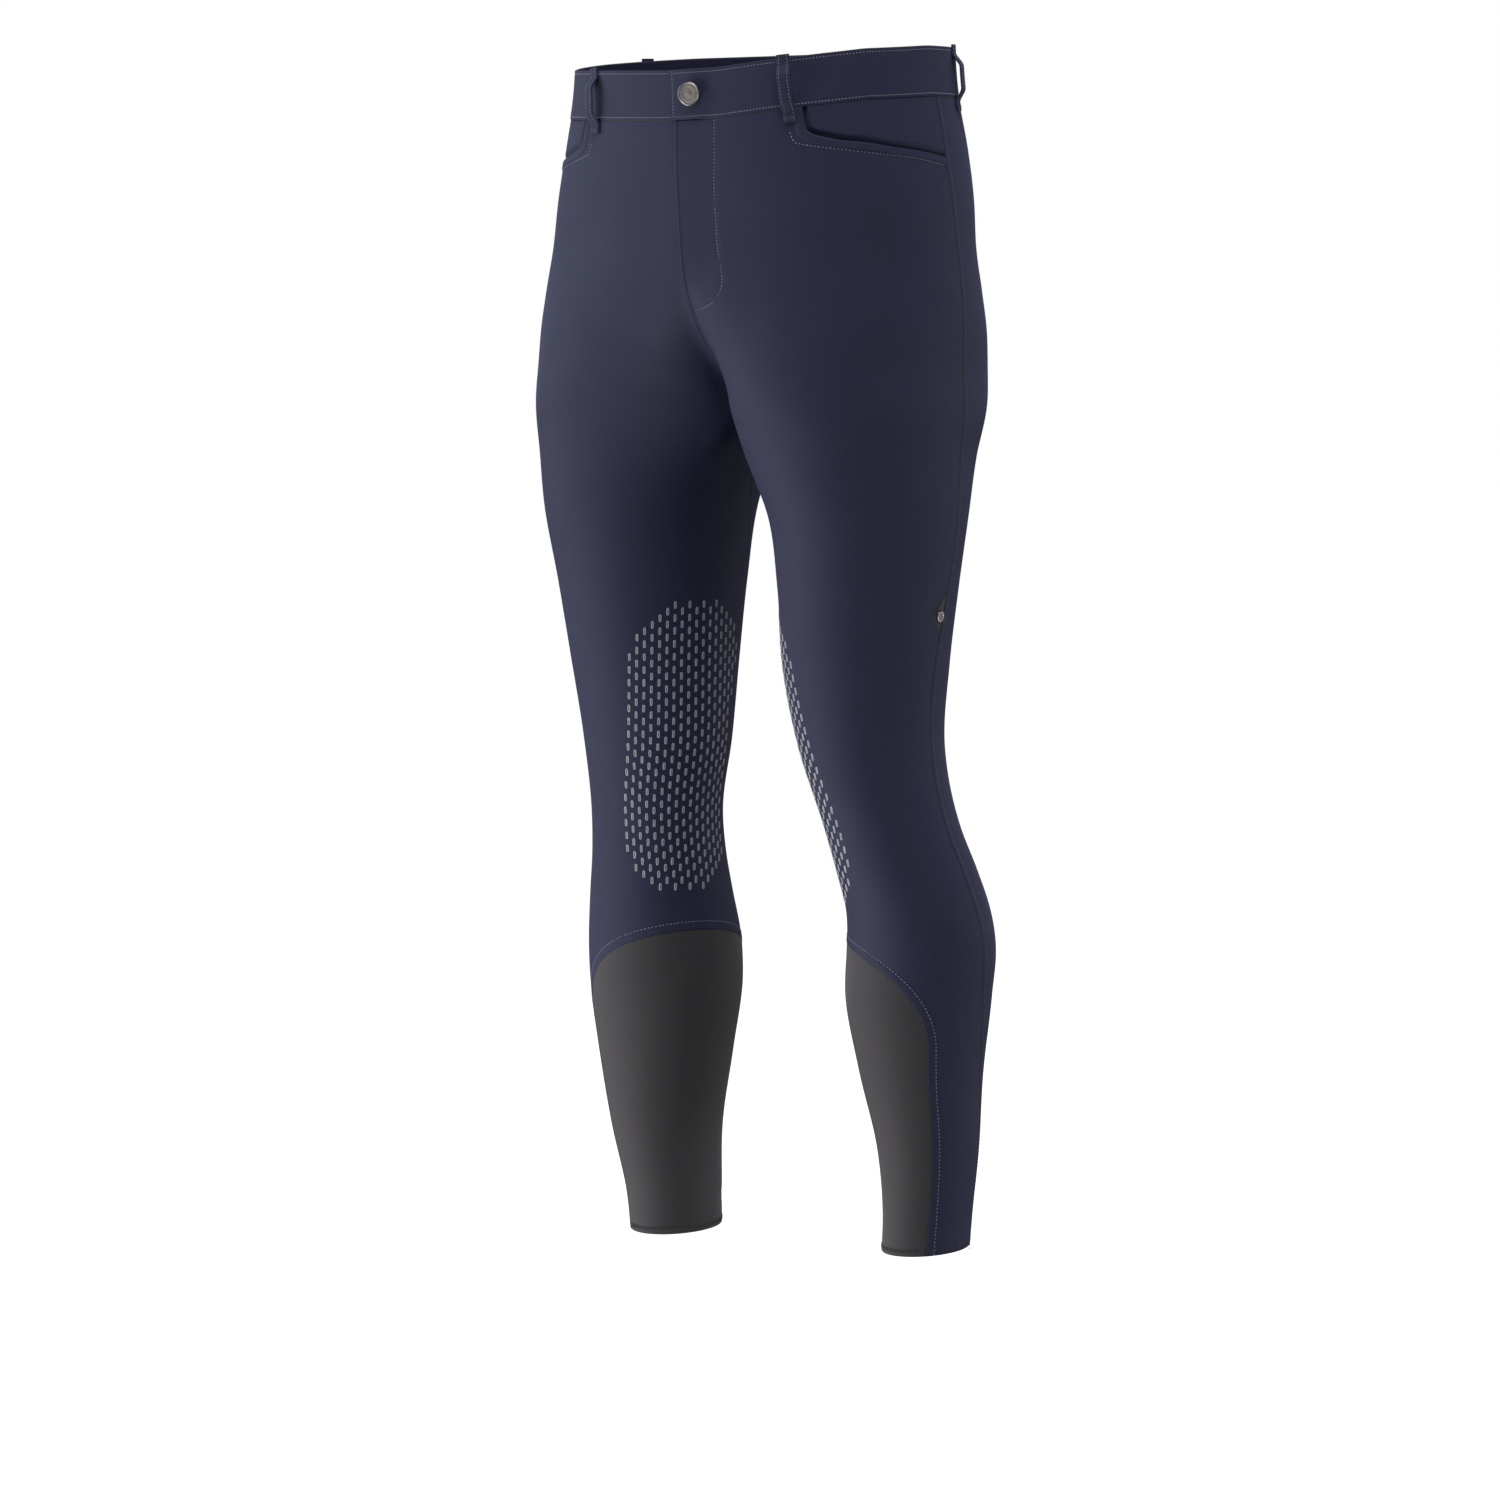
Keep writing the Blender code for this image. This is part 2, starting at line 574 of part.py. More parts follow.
def back_panel(side):
    """Back: waist, centre back seam, inseam, calf panel seam, hem, outseam."""
    waist = waist_seam(side, 2, 3)
    centre = rise(side, float(waist_height(side, math.pi)), back=True)
    turn, _ = inseam_meets_arch()
    inner = turned_back(inseam(side))
    over = turned_back(arch(side, turn, ARCH_ANGLE - ARCH_SPAN))
    down = turned_back(calf_seam(side, False))
    foot = hem(side, down[-1, 0], outseam_angle(HEM_FRONT))
    loop = loop_of(waist, centre, inner, over, down, foot, outseam(side, 0, 4)[::-1])
    return wall(f"back_{side_name(side)}", side, loop[::-1], NAVY)


def calf_panel(side):
    """Charcoal panel: arch, front seam, hem, back seam."""
    turn, _ = inseam_meets_arch()
    over = np.concatenate((arch(side, ARCH_ANGLE - ARCH_SPAN, turn)[:-1], arch(side, turn, ARCH_ANGLE + ARCH_SPAN)))
    foot = hem(side, math.radians(CALF_FRONT_HEM), math.radians(CALF_BACK_HEM))
    loop = loop_of(over, calf_seam(side, True), foot, calf_seam(side, False)[::-1])
    return wall(f"calf_panel_{side_name(side)}", side, loop[::-1], CHARCOAL)


def pocket_facing(side):
    """The hip piece behind the pocket mouth, lying deeper than the front panel."""
    edge = pocket_mouth(side, POCKET_UNDER)
    lead = waist_run(side, edge[0, 0], waist_knots(side)[1])
    waist = np.concatenate((lead[:-1], waist_seam(side, 1, 2)))
    under = even(side, (outseam(side, 0, 1)[-1], edge[-1]), SEAM_STEP)
    loop = loop_of(waist, outseam(side, 0, 1), under, edge[::-1])
    return wall(f"pocket_facing_{side_name(side)}", side, loop[::-1], NAVY, FACING,
                lambda angle, z: np.full(len(z), -FACING_DEPTH), step=16 * MM)


def gusset():
    """Small charcoal triangle let into the left outseam."""
    loop = loop_of(outseam(LEFT, 2, 3), gusset_edge()[::-1])
    return wall("seam_gusset_left", LEFT, loop[::-1], CHARCOAL, step=8 * MM)


def waistband(side):
    """One half of the band; the left one laps over the right one at the front."""
    foot = waist_seam(side, 0, 3, BAND_END if side == LEFT else UNDERLAP)
    top = (foot + (0, BAND_HEIGHT))[::-1]
    end = even(side, (foot[-1], top[0]), SEAM_STEP)
    front = even(side, (top[-1], foot[0]), SEAM_STEP)
    loop = loop_of(foot, end, top, front)
    if side == RIGHT:
        return wall("waistband_right", side, loop, NAVY, BAND, lambda turn, z: np.full(len(z), BAND_PROUD),
                    lap_foot=HEM_FRONT)
    rows = waist_height(LEFT, 0.0) + BAND_HEIGHT * np.array((0.25, 0.5, 0.75))
    return wall("waistband_left", side, loop, NAVY, BAND, band_rise, own_points=lap_points(BAND_COLUMNS, rows),
                lap_foot=HEM_FRONT)


def belt_loop(name, side, turn, lean):
    """A strip sewn down above and below the band and standing off it between."""
    foot = waist_height(side, math.radians(turn))
    length = np.concatenate((np.linspace(0, 0.16, 3), np.linspace(0.16, 0.84, 11)[1:], np.linspace(0.84, 1, 3)[1:]))
    z = foot + BAND_HEIGHT + LOOP_ABOVE - length * (BAND_HEIGHT + LOOP_ABOVE + LOOP_BELOW)
    middle = np.radians(turn - lean * (1 - length))
    stand = LOOP_REST + (LOOP_STAND - LOOP_REST) * fade(length, 0.13, 0.34) * fade(length, 0.87, 0.66)
    spread = np.linspace(-0.5, 0.5, 4)
    place = skin(side, middle, z)
    normal = outward(side, middle, z)
    across_strip = np.cross(np.gradient(place, axis=0), normal)
    across_strip /= np.linalg.norm(across_strip, axis=1, keepdims=True)
    strip = place[:, None] + across_strip[:, None] * (spread * LOOP_WIDTH)[None, :, None]
    bend = (spread**2 * LOOP_WIDTH**2 / (2 * 105 * MM))[None, :, None] * normal[:, None]
    inner = strip - bend * 0.4 + normal[:, None] * stand[:, None, None]
    outer = inner + normal[:, None] * LOOP_CLOTH
    return add_object(name, *closed_strip(inner, outer), NAVY)


def closed_strip(inner, outer):
    """(points, faces) of a strip with thickness from its two grids of points."""
    rows, columns = inner.shape[:2]
    points = np.concatenate((inner.reshape(-1, 3), outer.reshape(-1, 3)))
    index = np.arange(rows * columns).reshape(rows, columns)
    a, b, c, d = (index[:-1, :-1], index[:-1, 1:], index[1:, 1:], index[1:, :-1])
    lower = np.stack((a, b, c, d), -1).reshape(-1, 4)
    rim = np.concatenate((index[0], index[1:, -1], index[-1, -2::-1], index[-2:0:-1, 0]))
    following = np.roll(rim, -1)
    shift = rows * columns
    sides = np.stack((following, rim, rim + shift, following + shift), 1)
    return points, np.concatenate((lower, lower[:, ::-1] + shift, sides))


def turned(name, side, angle, z, lift, profile, segments, finish):
    """A body turned round the skin's normal from (radius, height) pairs, first and last on the axis."""
    centre = skin(side, angle, z)
    axis = outward(side, angle, z)
    first = np.cross(axis, (0, 0, 1))
    first /= np.linalg.norm(first)
    second = np.cross(axis, first)
    rings = np.array(profile[1:-1])
    turn = np.linspace(0, 2 * math.pi, segments, endpoint=False)
    round_way = np.cos(turn)[:, None] * first + np.sin(turn)[:, None] * second
    ring_points = (centre + axis * (lift + rings[:, 1])[:, None, None] + rings[:, 0][:, None, None] * round_way)
    ends = [centre + axis * (lift + profile[i][1]) for i in (0, -1)]
    points = np.concatenate((ring_points.reshape(-1, 3), ends))
    index = np.arange(len(rings) * segments).reshape(len(rings), segments)
    after = np.roll(index, -1, 1)
    quads = np.stack((index[:-1], after[:-1], after[1:], index[1:]), -1).reshape(-1, 4).tolist()
    low, high = len(points) - 2, len(points) - 1
    fans = [(low, int(b), int(a)) for a, b in zip(index[0], after[0])]
    fans += [(high, int(a), int(b)) for a, b in zip(index[-1], after[-1])]
    return add_object(name, points, quads + fans, finish)


def button():
    """Round metal button with a raised rim and a plain dished face."""
    angle = float(angle_at(LEFT, BUTTON_X, 0.0))
    r, t = BUTTON_RADIUS, BUTTON_THICK
    profile = ((0, 0), (0.82 * r, 0), (0.97 * r, 0.2 * t), (r, 0.5 * t), (0.97 * r, 0.8 * t), (0.88 * r, t),
               (0.8 * r, 0.93 * t), (0.76 * r, 0.72 * t), (0.4 * r, 0.7 * t), (0, 0.72 * t))
    lift = BAND_PROUD + BAND_LAP + 2 * SEAM_GAP
    return turned("waist_button", LEFT, angle, 0.0, lift, profile, 28, SILVER)


def stud():
    """Flat-headed metal stud on the gusset's edge."""
    r, t = STUD_RADIUS, STUD_THICK
    profile = ((0, 0), (0.85 * r, 0), (r, 0.4 * t), (0.86 * r, 0.85 * t), (0.55 * r, t), (0, 1.02 * t))
    return turned("side_stud_left", LEFT, math.radians(94), -400 * MM, 2 * SEAM_GAP, profile, 20, SILVER)


def clear_scene():
    for thing in list(bpy.data.objects):
        bpy.data.objects.remove(thing, do_unlink=True)


def main():
    clear_scene()
    for side in (RIGHT, LEFT):
        front_panel(side)
        back_panel(side)
        calf_panel(side)
        pocket_facing(side)
        waistband(side)
    gusset()
    stud()
    button()
    for name, side, turn, lean in LOOPS:
        belt_loop(name, side, turn, lean)


main()
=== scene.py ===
"""Riding breeches in worn form: the cloth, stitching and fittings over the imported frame.

Metres, +Z up, the front faces -Y and the wearer's left is +X. The origin is the centre
of the waist opening. Each half of the garment is one surface of an angle round the leg
(0 front, 90 outer side, 180 back, -90 inner leg) and a height. A panel is a grid
stretched between its four edges on that surface, with a wall of cloth behind it.
"""

from __future__ import annotations

import logging
import math
from dataclasses import dataclass, field
from enum import Enum, IntEnum

import bpy
import numpy as np
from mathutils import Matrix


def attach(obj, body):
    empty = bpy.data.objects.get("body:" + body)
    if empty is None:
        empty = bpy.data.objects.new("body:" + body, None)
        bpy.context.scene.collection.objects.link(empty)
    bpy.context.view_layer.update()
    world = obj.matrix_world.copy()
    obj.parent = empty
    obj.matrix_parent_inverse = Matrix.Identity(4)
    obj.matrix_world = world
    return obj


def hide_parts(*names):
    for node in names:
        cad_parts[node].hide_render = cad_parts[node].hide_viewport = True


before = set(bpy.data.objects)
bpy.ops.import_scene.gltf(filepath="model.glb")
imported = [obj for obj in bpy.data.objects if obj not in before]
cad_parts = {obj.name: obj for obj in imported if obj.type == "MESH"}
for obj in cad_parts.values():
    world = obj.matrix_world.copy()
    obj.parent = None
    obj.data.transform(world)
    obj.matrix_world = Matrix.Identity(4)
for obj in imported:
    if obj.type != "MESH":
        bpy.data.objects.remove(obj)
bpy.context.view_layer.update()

log = logging.getLogger("breeches")
Array = np.ndarray

MM = 0.001
WALL = 1.3 * MM  # cloth of the panels
SEAM_ROUND = 0.8 * MM  # how far an edge rolls down into its seam
SIDE_ROUND = 1.2 * MM  # the same at the side seams, which are pulled in deeper
BAND_PROUD = 0.5 * MM
BAND_HEIGHT = 38.5 * MM
FLY_LAP, FLY_WIDTH, FLY_BEND = 2.5 * MM, 35 * MM, 0.16
FLY_FOOT, FLY_FADE = -141 * MM, -163 * MM
UNDERLAP, UNDERLAP_FOOT, UNDERLAP_POINT = 12 * MM, -120 * MM, -134 * MM
BAND_LAP, BAND_LAP_FULL, BAND_LAP_END = 2.5 * MM, 18 * MM, 36 * MM
BAND_END = 3 * MM
CROTCH = -240 * MM
HEM_FRONT, HEM_BACK_RISE = -901 * MM, 3 * MM
HEM_ROUND = 1.35 * MM
VALLEY, VALLEY_STEEPEST = 12 * MM, 2.2

# Heights of level sections with the distances in each one:
# z, centre_x, outer, inner, centre_y, front, back, square
SECTIONS = MM * np.array((
    (45, 0, 158, 158, 0, 111, 112, 20),
    (0, 0, 161, 161, 0, 112, 117, 20),
    (-40, 0, 168, 168, 0, 113, 127, 20),
    (-80, 0, 175, 168, 0, 112, 136, 19),
    (-120, 12, 168, 128, 0, 111, 142, 17),
    (-150, 38, 146, 104, 0, 110, 144, 13),
    (-180, 64, 122, 95, 0, 108, 142, 9),
    (-210, 83, 103, 92, 0, 106, 135, 5),
    (-240, 94, 94, 94, 0, 103, 125, 2),
    (-280, 100, 86, 87, -1, 97, 107, 0),
    (-320, 104, 80, 79, -1, 91, 92, 0),
    (-380, 103, 71, 71, 0, 79, 78, 0),
    (-440, 101, 64, 64, 1, 69, 69, 0),
    (-505, 104, 56.5, 56.5, 3, 60, 60, 0),
    (-566, 110, 51, 51, 8, 55, 55, 0),
    (-600, 114, 52.5, 52.5, 14, 56, 56, 0),
    (-630, 118, 55.5, 55.5, 21, 57.5, 57.5, 0),
    (-665, 119, 58.5, 58.5, 27, 59.5, 59.5, 0),
    (-700, 118, 57.5, 57.5, 29, 59, 59, 0),
    (-756, 118, 49.7, 49.7, 31, 52, 52, 0),
    (-820, 118, 40.4, 40.4, 31, 43, 43, 0),
    (-870, 114, 35, 35, 30, 38.5, 38.5, 0),
    (-915, 113, 33.8, 33.8, 30, 37.5, 37.5, 0),
))
# Each leg's own shift, and how much fuller it is than the mean section:
# z, right_x, right_y, right_fuller, left_x, left_y, left_fuller
STANCE = MM * np.array((
    (45, 0, 0, 0, 0, 0, 0),
    (-40, 0, 0, 0, 0, 0, 0),
    (-120, -4, 0, 0, -4, 0, 0),
    (-200, -7, 0, 0, -7, 0, 0),
    (-240, -8, 0, 0, -8, 0, 0),
    (-280, -8, 0, 0, -6, 1, -3),
    (-320, -7, -1, 0.5, -3, 2, -5.5),
    (-380, -6, -3, 1, -3.5, 4, -3.5),
    (-440, -5, -5, 1, -5, 5, -1),
    (-505, 0, -6, 1, -4.5, 6, -1),
    (-566, 2, -7, -0.5, 5, 7, 0.5),
    (-600, 3.5, -7.5, -0.5, 10, 8, 1),
    (-630, 4.5, -8, 0.5, 11.5, 8, 0),
    (-700, 4, -9, 2.8, 5.5, 9, -0.8),
    (-760, 3, -10, 3, 6, 10, -1.5),
    (-820, 5, -11, 2.4, 12, 11, -1.6),
    (-870, 9.5, -12, 1.6, 15.5, 12, -1.2),
    (-915, 12, -13, 0.6, 12.5, 13, -0.8),
))
# How far the centre front is drawn over to the left at each height: z, shift.
SWAY = MM * np.array(((45, -2), (-19, 2), (-68, 4.5), (-104, 9), (-146, 14.2), (-170, 16.5), (-195, 17.5),
                      (-226, 21.5), (-250, 17), (-279, 7), (-300, 2), (-340, 0), (-915, 0)))
SWAY_MIDDLE, SWAY_REACH = -11 * MM, 38 * MM
WAIST_ANGLES = (0, 15, 30, 45, 60, 90, 130, 180)
OUTSEAM = np.array(((60, 94), (0, 94), (-60, 95), (-120, 98), (-300, 102), (-350, 103), (-400, 98),
                    (-450, 92.5), (-540, 92), (-620, 91), (-670, 93), (-720, 100), (-780, 112),
                    (-840, 118), (-915, 122)), float)  # height, degrees
INSEAM = np.array(((-240, -90), (-262, -93), (-300, -104), (-350, -117), (-420, -127),
                   (-520, -131), (-640, -133), (-760, -133)), float)
POCKET_MOUTH = np.array(((39.4, 0), (39.6, 10), (40, 18), (42.5, 22.5), (50, 28.5), (67, 36.5),
                         (80, 41), (94.5, 47)), float)  # degrees, drop below the waist seam
GUSSET_TOP, GUSSET_FOOT = -381 * MM, -415 * MM
GUSSET_APEX = (87.0, -400.5 * MM)
ARCH_ANGLE, ARCH_SPAN = -65, 110
ARCH_TOP, ARCH_DROP = -656 * MM, 80 * MM
ARCH_SHOULDER = 0.82  # share of the span where the arch turns into the panel's sides
CALF_FRONT_HEM, CALF_BACK_HEM = 40, -172

# Distances from a seam at which a panel has rows or columns of points.
FINE = MM * np.array((0, 0.1, 0.3, 0.6, 1.0, 1.6, 2.4, 3.4, 4.5, 5.3, 6.0, 6.7, 7.5, 9, 11, 14))
FREE = np.array((0.0,))


class Side(IntEnum):
    """Which half of the garment, with the sign of its X."""

    RIGHT = -1
    LEFT = 1

    @property
    def word(self) -> str:
        """The half's name in lower case."""
        return self.name.lower()


class Held(Enum):
    """How a sheet of cloth is held."""

    STRETCHED = "stretched"
    FOLDED = "folded"


def fade(value: Array | float, start: float, end: float) -> Array:
    """0 at the start, 1 at the end, and a smooth S (3u^2 - 2u^3) between them."""
    u = np.clip((np.asarray(value, float) - start) / (end - start), 0, 1)
    return u * u * (3 - 2 * u)


def unit(vectors: Array) -> Array:
    """The vectors at length 1."""
    return vectors / np.maximum(np.linalg.norm(vectors, axis=-1, keepdims=True), 1e-12)


def between_rows(table: Array, z: Array) -> Array:
    """Each column of a table at these heights.

    A cubic through the rows: value and slope are kept at every row.

    Args:
        table: rows of height and values, from the top down.
        z: heights in metres.

    Returns:
        One row of values for each height.
    """
    level, values = -table[:, 0], table[:, 1:]
    span = np.diff(level)
    rate = np.diff(values, axis=0) / span[:, None]
    middle = (rate[:-1] * span[1:, None] + rate[1:] * span[:-1, None]) / (span[:-1] + span[1:])[:, None]
    slope = np.vstack((rate[:1], middle, rate[-1:]))
    at = -np.asarray(z, float)
    row = np.clip(np.searchsorted(level, at) - 1, 0, len(level) - 2)
    width = span[row][..., None]
    u = (at - level[row])[..., None] / width
    start = (2 * u**3 - 3 * u**2 + 1) * values[row] + (u**3 - 2 * u**2 + u) * width * slope[row]
    return start + (3 * u**2 - 2 * u**3) * values[row + 1] + (u**3 - u**2) * width * slope[row + 1]


def swayed(points: Array) -> Array:
    """The points with the centre front drawn over to the left; sides and back stay.

    The shift at each height fades on a bell across the front, and to none on the
    way to the sides.

    Args:
        points: (n, 3) places of the straight garment.

    Returns:
        The places of the worn one.
    """
    middle = between_rows(STANCE, points[:, 2])[:, 0]
    amount = between_rows(SWAY, points[:, 2])[:, 0]
    near = np.exp(-(((points[:, 0] - middle - SWAY_MIDDLE) / SWAY_REACH) ** 2))
    front = 1 - fade(points[:, 1], -45 * MM, -8 * MM)
    return points + np.stack((amount * near * front, 0 * near, 0 * near), 1)


def distance_to(points: Array, line: Array, closed: bool = False) -> tuple[Array, Array]:
    """How far each point is from a polyline, and how far along it the nearest place is.

    The nearest place on each segment is the point's projection, kept between its ends.

    Args:
        points: (n, 3) points.
        line: (m, 3) points of the polyline.
        closed: whether the last point joins the first.

    Returns:
        Distances (n,) and places along the line in metres (n,).
    """
    ends = np.concatenate((line, line[:1])) if closed else line
    start, step = ends[:-1], np.diff(ends, axis=0)
    length = np.maximum(np.linalg.norm(step, axis=1), 1e-9)
    before = np.concatenate(((0,), np.cumsum(length)[:-1]))
    best, along = np.empty(len(points)), np.empty(len(points))
    for first in range(0, len(points), 4000):
        part = points[first:first + 4000]
        away = part[:, None] - start[None]
        share = np.clip(np.einsum("nmk,mk->nm", away, step) / length**2, 0, 1)
        gap = np.linalg.norm(away - share[..., None] * step, axis=2)
        nearest = gap.argmin(axis=1)
        rows = np.arange(len(part))
        best[first:first + 4000] = gap[rows, nearest]
        along[first:first + 4000] = before[nearest] + share[rows, nearest] * length[nearest]
    return best, along


# ---------------------------------------------------------------- the worn form
@dataclass(frozen=True)
class LegForm:
    """The outer face of one half of the garment, over an angle and a height."""

    side: Side
    waist_heights: tuple[float, ...] = ()

    def section(self, angle: Array, z: Array) -> Array:
        """A point of a level section before its stance.

        Egg-shaped: the reach along X is the mean of outer and inner radius plus half
        their difference times the sine, the depth along Y the same with front, back and
        the cosine, and both grow a little at the corners of the square.
        """
        centre_x, outer, inner, centre_y, front, back, square = np.moveaxis(between_rows(SECTIONS, z), -1, 0)
        sine, cosine = np.sin(angle), np.cos(angle)
        fuller = between_rows(STANCE, z)[..., 2 if self.side == Side.RIGHT else 5]
        corner = square / MM / 1000
        girth = (1 - corner * np.cos(4 * angle)) / (1 - corner)
        reach = ((outer + inner) / 2 + (outer - inner) / 2 * sine + fuller) * girth
        depth = ((front + back) / 2 + (front - back) / 2 * cosine + fuller) * girth
        return np.stack((centre_x + reach * sine, centre_y - depth * cosine, z), -1)

    @staticmethod
    def across(surface, angle: Array, z: Array) -> Array:
        """The cross product of the surface's steps along the angle and up the height."""
        turn, rise = 1e-4, 1e-5
        along = surface(angle + turn, z) - surface(angle - turn, z)
        up = surface(angle, z + rise) - surface(angle, z - rise)
        return unit(np.cross(along, up))

    def rounded(self, angle: Array, z: Array) -> Array:
        """The section with the valley at the centre plane filled to a round one."""
        angle, z = np.broadcast_arrays(np.asarray(angle, float), np.asarray(z, float))
        point = self.section(angle, z)
        normal = self.across(self.section, angle, z)
        outward = normal * (0, 1, 1)
        size = np.maximum(np.linalg.norm(outward, axis=-1, keepdims=True), 1e-6)
        steep = np.minimum(np.abs(normal[..., :1]) / size, VALLEY_STEEPEST)
        near = np.clip(VALLEY - np.abs(point[..., :1]), 0, None)
        return point + (normal[..., :1] < 0) * steep * near**2 / (2 * VALLEY) * outward / size

    def skin(self, angle: Array, z: Array) -> Array:
        """A point of the cloth's outer face."""
        point = self.rounded(angle, z)
        stance = between_rows(STANCE, np.broadcast_to(z, point.shape[:-1]))
        shift = stance[..., slice(0, 2) if self.side == Side.RIGHT else slice(3, 5)]
        return point * (int(self.side), 1, 1) + np.concatenate((shift, np.zeros_like(shift[..., :1])), -1)

    def normal(self, angle: Array, z: Array) -> Array:
        """The outward unit normal of the cloth's outer face."""
        return int(self.side) * self.across(self.skin, angle, z)

    def centre_distance(self, angle: Array, z: Array) -> Array:
        """How far the section's point is from the centre plane."""
        return self.section(angle, z)[..., 0]

    def angle_at(self, x: Array | float, z: Array, back: bool = False) -> Array:
        """The angle where the section comes to this distance from the centre plane, by halving."""
        z = np.asarray(z, float)
        low, high = np.full(z.shape, -math.pi / 2), np.full(z.shape, math.pi / 3)
        for _ in range(44):
            middle = (low + high) / 2
            beyond = self.section(math.pi - middle if back else middle, z)[..., 0] > x
            low, high = np.where(beyond, low, middle), np.where(beyond, middle, high)
        return math.pi - low if back else low

    def waist(self, angle: Array | float) -> Array:
        """The waist seam's height at an angle; past the centre it is the other half's."""
        angle = np.arctan2(np.sin(angle), np.cos(angle)) % (2 * math.pi)
        past = angle > 1.5 * math.pi
        turned = np.degrees(np.where(past, 2 * math.pi - angle, angle))
        own = np.interp(turned, WAIST_ANGLES, WAIST_HEIGHTS[self.side])
        other = np.interp(turned, WAIST_ANGLES, WAIST_HEIGHTS[Side(-self.side)])
        return MM * np.where(past, other, own)

    def place(self, path: Array, height: Array | float = 0.0) -> Array:
        """Points of a path of (angle, height) rows, this far off the skin."""
        lift = np.broadcast_to(height, path.shape[:-1])[..., None]
        return self.skin(path[..., 0], path[..., 1]) + self.normal(path[..., 0], path[..., 1]) * lift

    def even(self, path: Array, step: float = 2 * MM, count: int = 0) -> Array:
        """A path with its points evenly spaced on the cloth.

        Args:
            path: (n, 2) angles and heights.
            step: the spacing, where no count is given.
            count: how many points, if it is fixed.

        Returns:
            (m, 2) angles and heights.
        """
        path = np.asarray(path, float)
        parts = [np.linspace(a, b, 9)[:-1] for a, b in zip(path[:-1], path[1:])]
        fine = np.concatenate(parts + [path[-1:]])
        length = np.linalg.norm(np.diff(self.skin(fine[:, 0], fine[:, 1]), axis=0), axis=1)
        length = np.concatenate(((0,), np.cumsum(length)))
        marks = np.linspace(0, length[-1], count or max(2, 1 + round(length[-1] / step)))
        return np.stack([np.interp(marks, length, fine[:, i]) for i in (0, 1)], 1)

    def at(self, path: Array, share: Array) -> Array:
        """The path's (angle, height) at shares 0 to 1 of its length on the cloth."""
        dense = self.even(path, count=400)
        place = np.clip(share, 0, 1) * 399
        return np.stack([np.interp(place, np.arange(400), dense[:, i]) for i in (0, 1)], -1)

    def length(self, path: Array) -> float:
        """The path's length on the cloth."""
        dense = self.even(path, count=60)
        return float(np.linalg.norm(np.diff(self.skin(dense[:, 0], dense[:, 1]), axis=0), axis=1).sum())

    def offset(self, path: Array, distance: float) -> Array:
        """The path moved sideways on the cloth, to the same side of its piece on both halves.

        Args:
            path: (n, 2) angles and heights.
            distance: metres to the right of its direction, seen from outside the left half.

        Returns:
            (n, 2) angles and heights.
        """
        point = self.skin(path[:, 0], path[:, 1])
        normal = self.normal(path[:, 0], path[:, 1])
        move = unit(np.cross(np.gradient(point, axis=0), normal)) * distance * int(self.side)
        turn, drop = 1e-4, 1e-5
        along = (self.skin(path[:, 0] + turn, path[:, 1]) - self.skin(path[:, 0] - turn, path[:, 1])) / (2 * turn)
        down = (self.skin(path[:, 0], path[:, 1] + drop) - self.skin(path[:, 0], path[:, 1] - drop)) / (2 * drop)
        aa, ad, dd = (np.sum(p * q, axis=1) for p, q in ((along, along), (along, down), (down, down)))
        ma, md = np.sum(move * along, axis=1), np.sum(move * down, axis=1)
        bottom = aa * dd - ad * ad
        return path + np.stack(((ma * dd - md * ad) / bottom, (md * aa - ma * ad) / bottom), 1)


WAIST_HEIGHTS = {
    Side.LEFT: (-19, -16.5, -11, -6.5, -2.5, 0, -2, -5),
    Side.RIGHT: (-19, -19, -19, -19, -18.5, -14, -9, -5),
}
POCKET_DRAWN = {Side.LEFT: 0.0, Side.RIGHT: 3.0}  # degrees that the mouth's corner lies further forward
POCKET_CORNER = 18.0  # drop of the mouth's corner below the waist seam, in mm


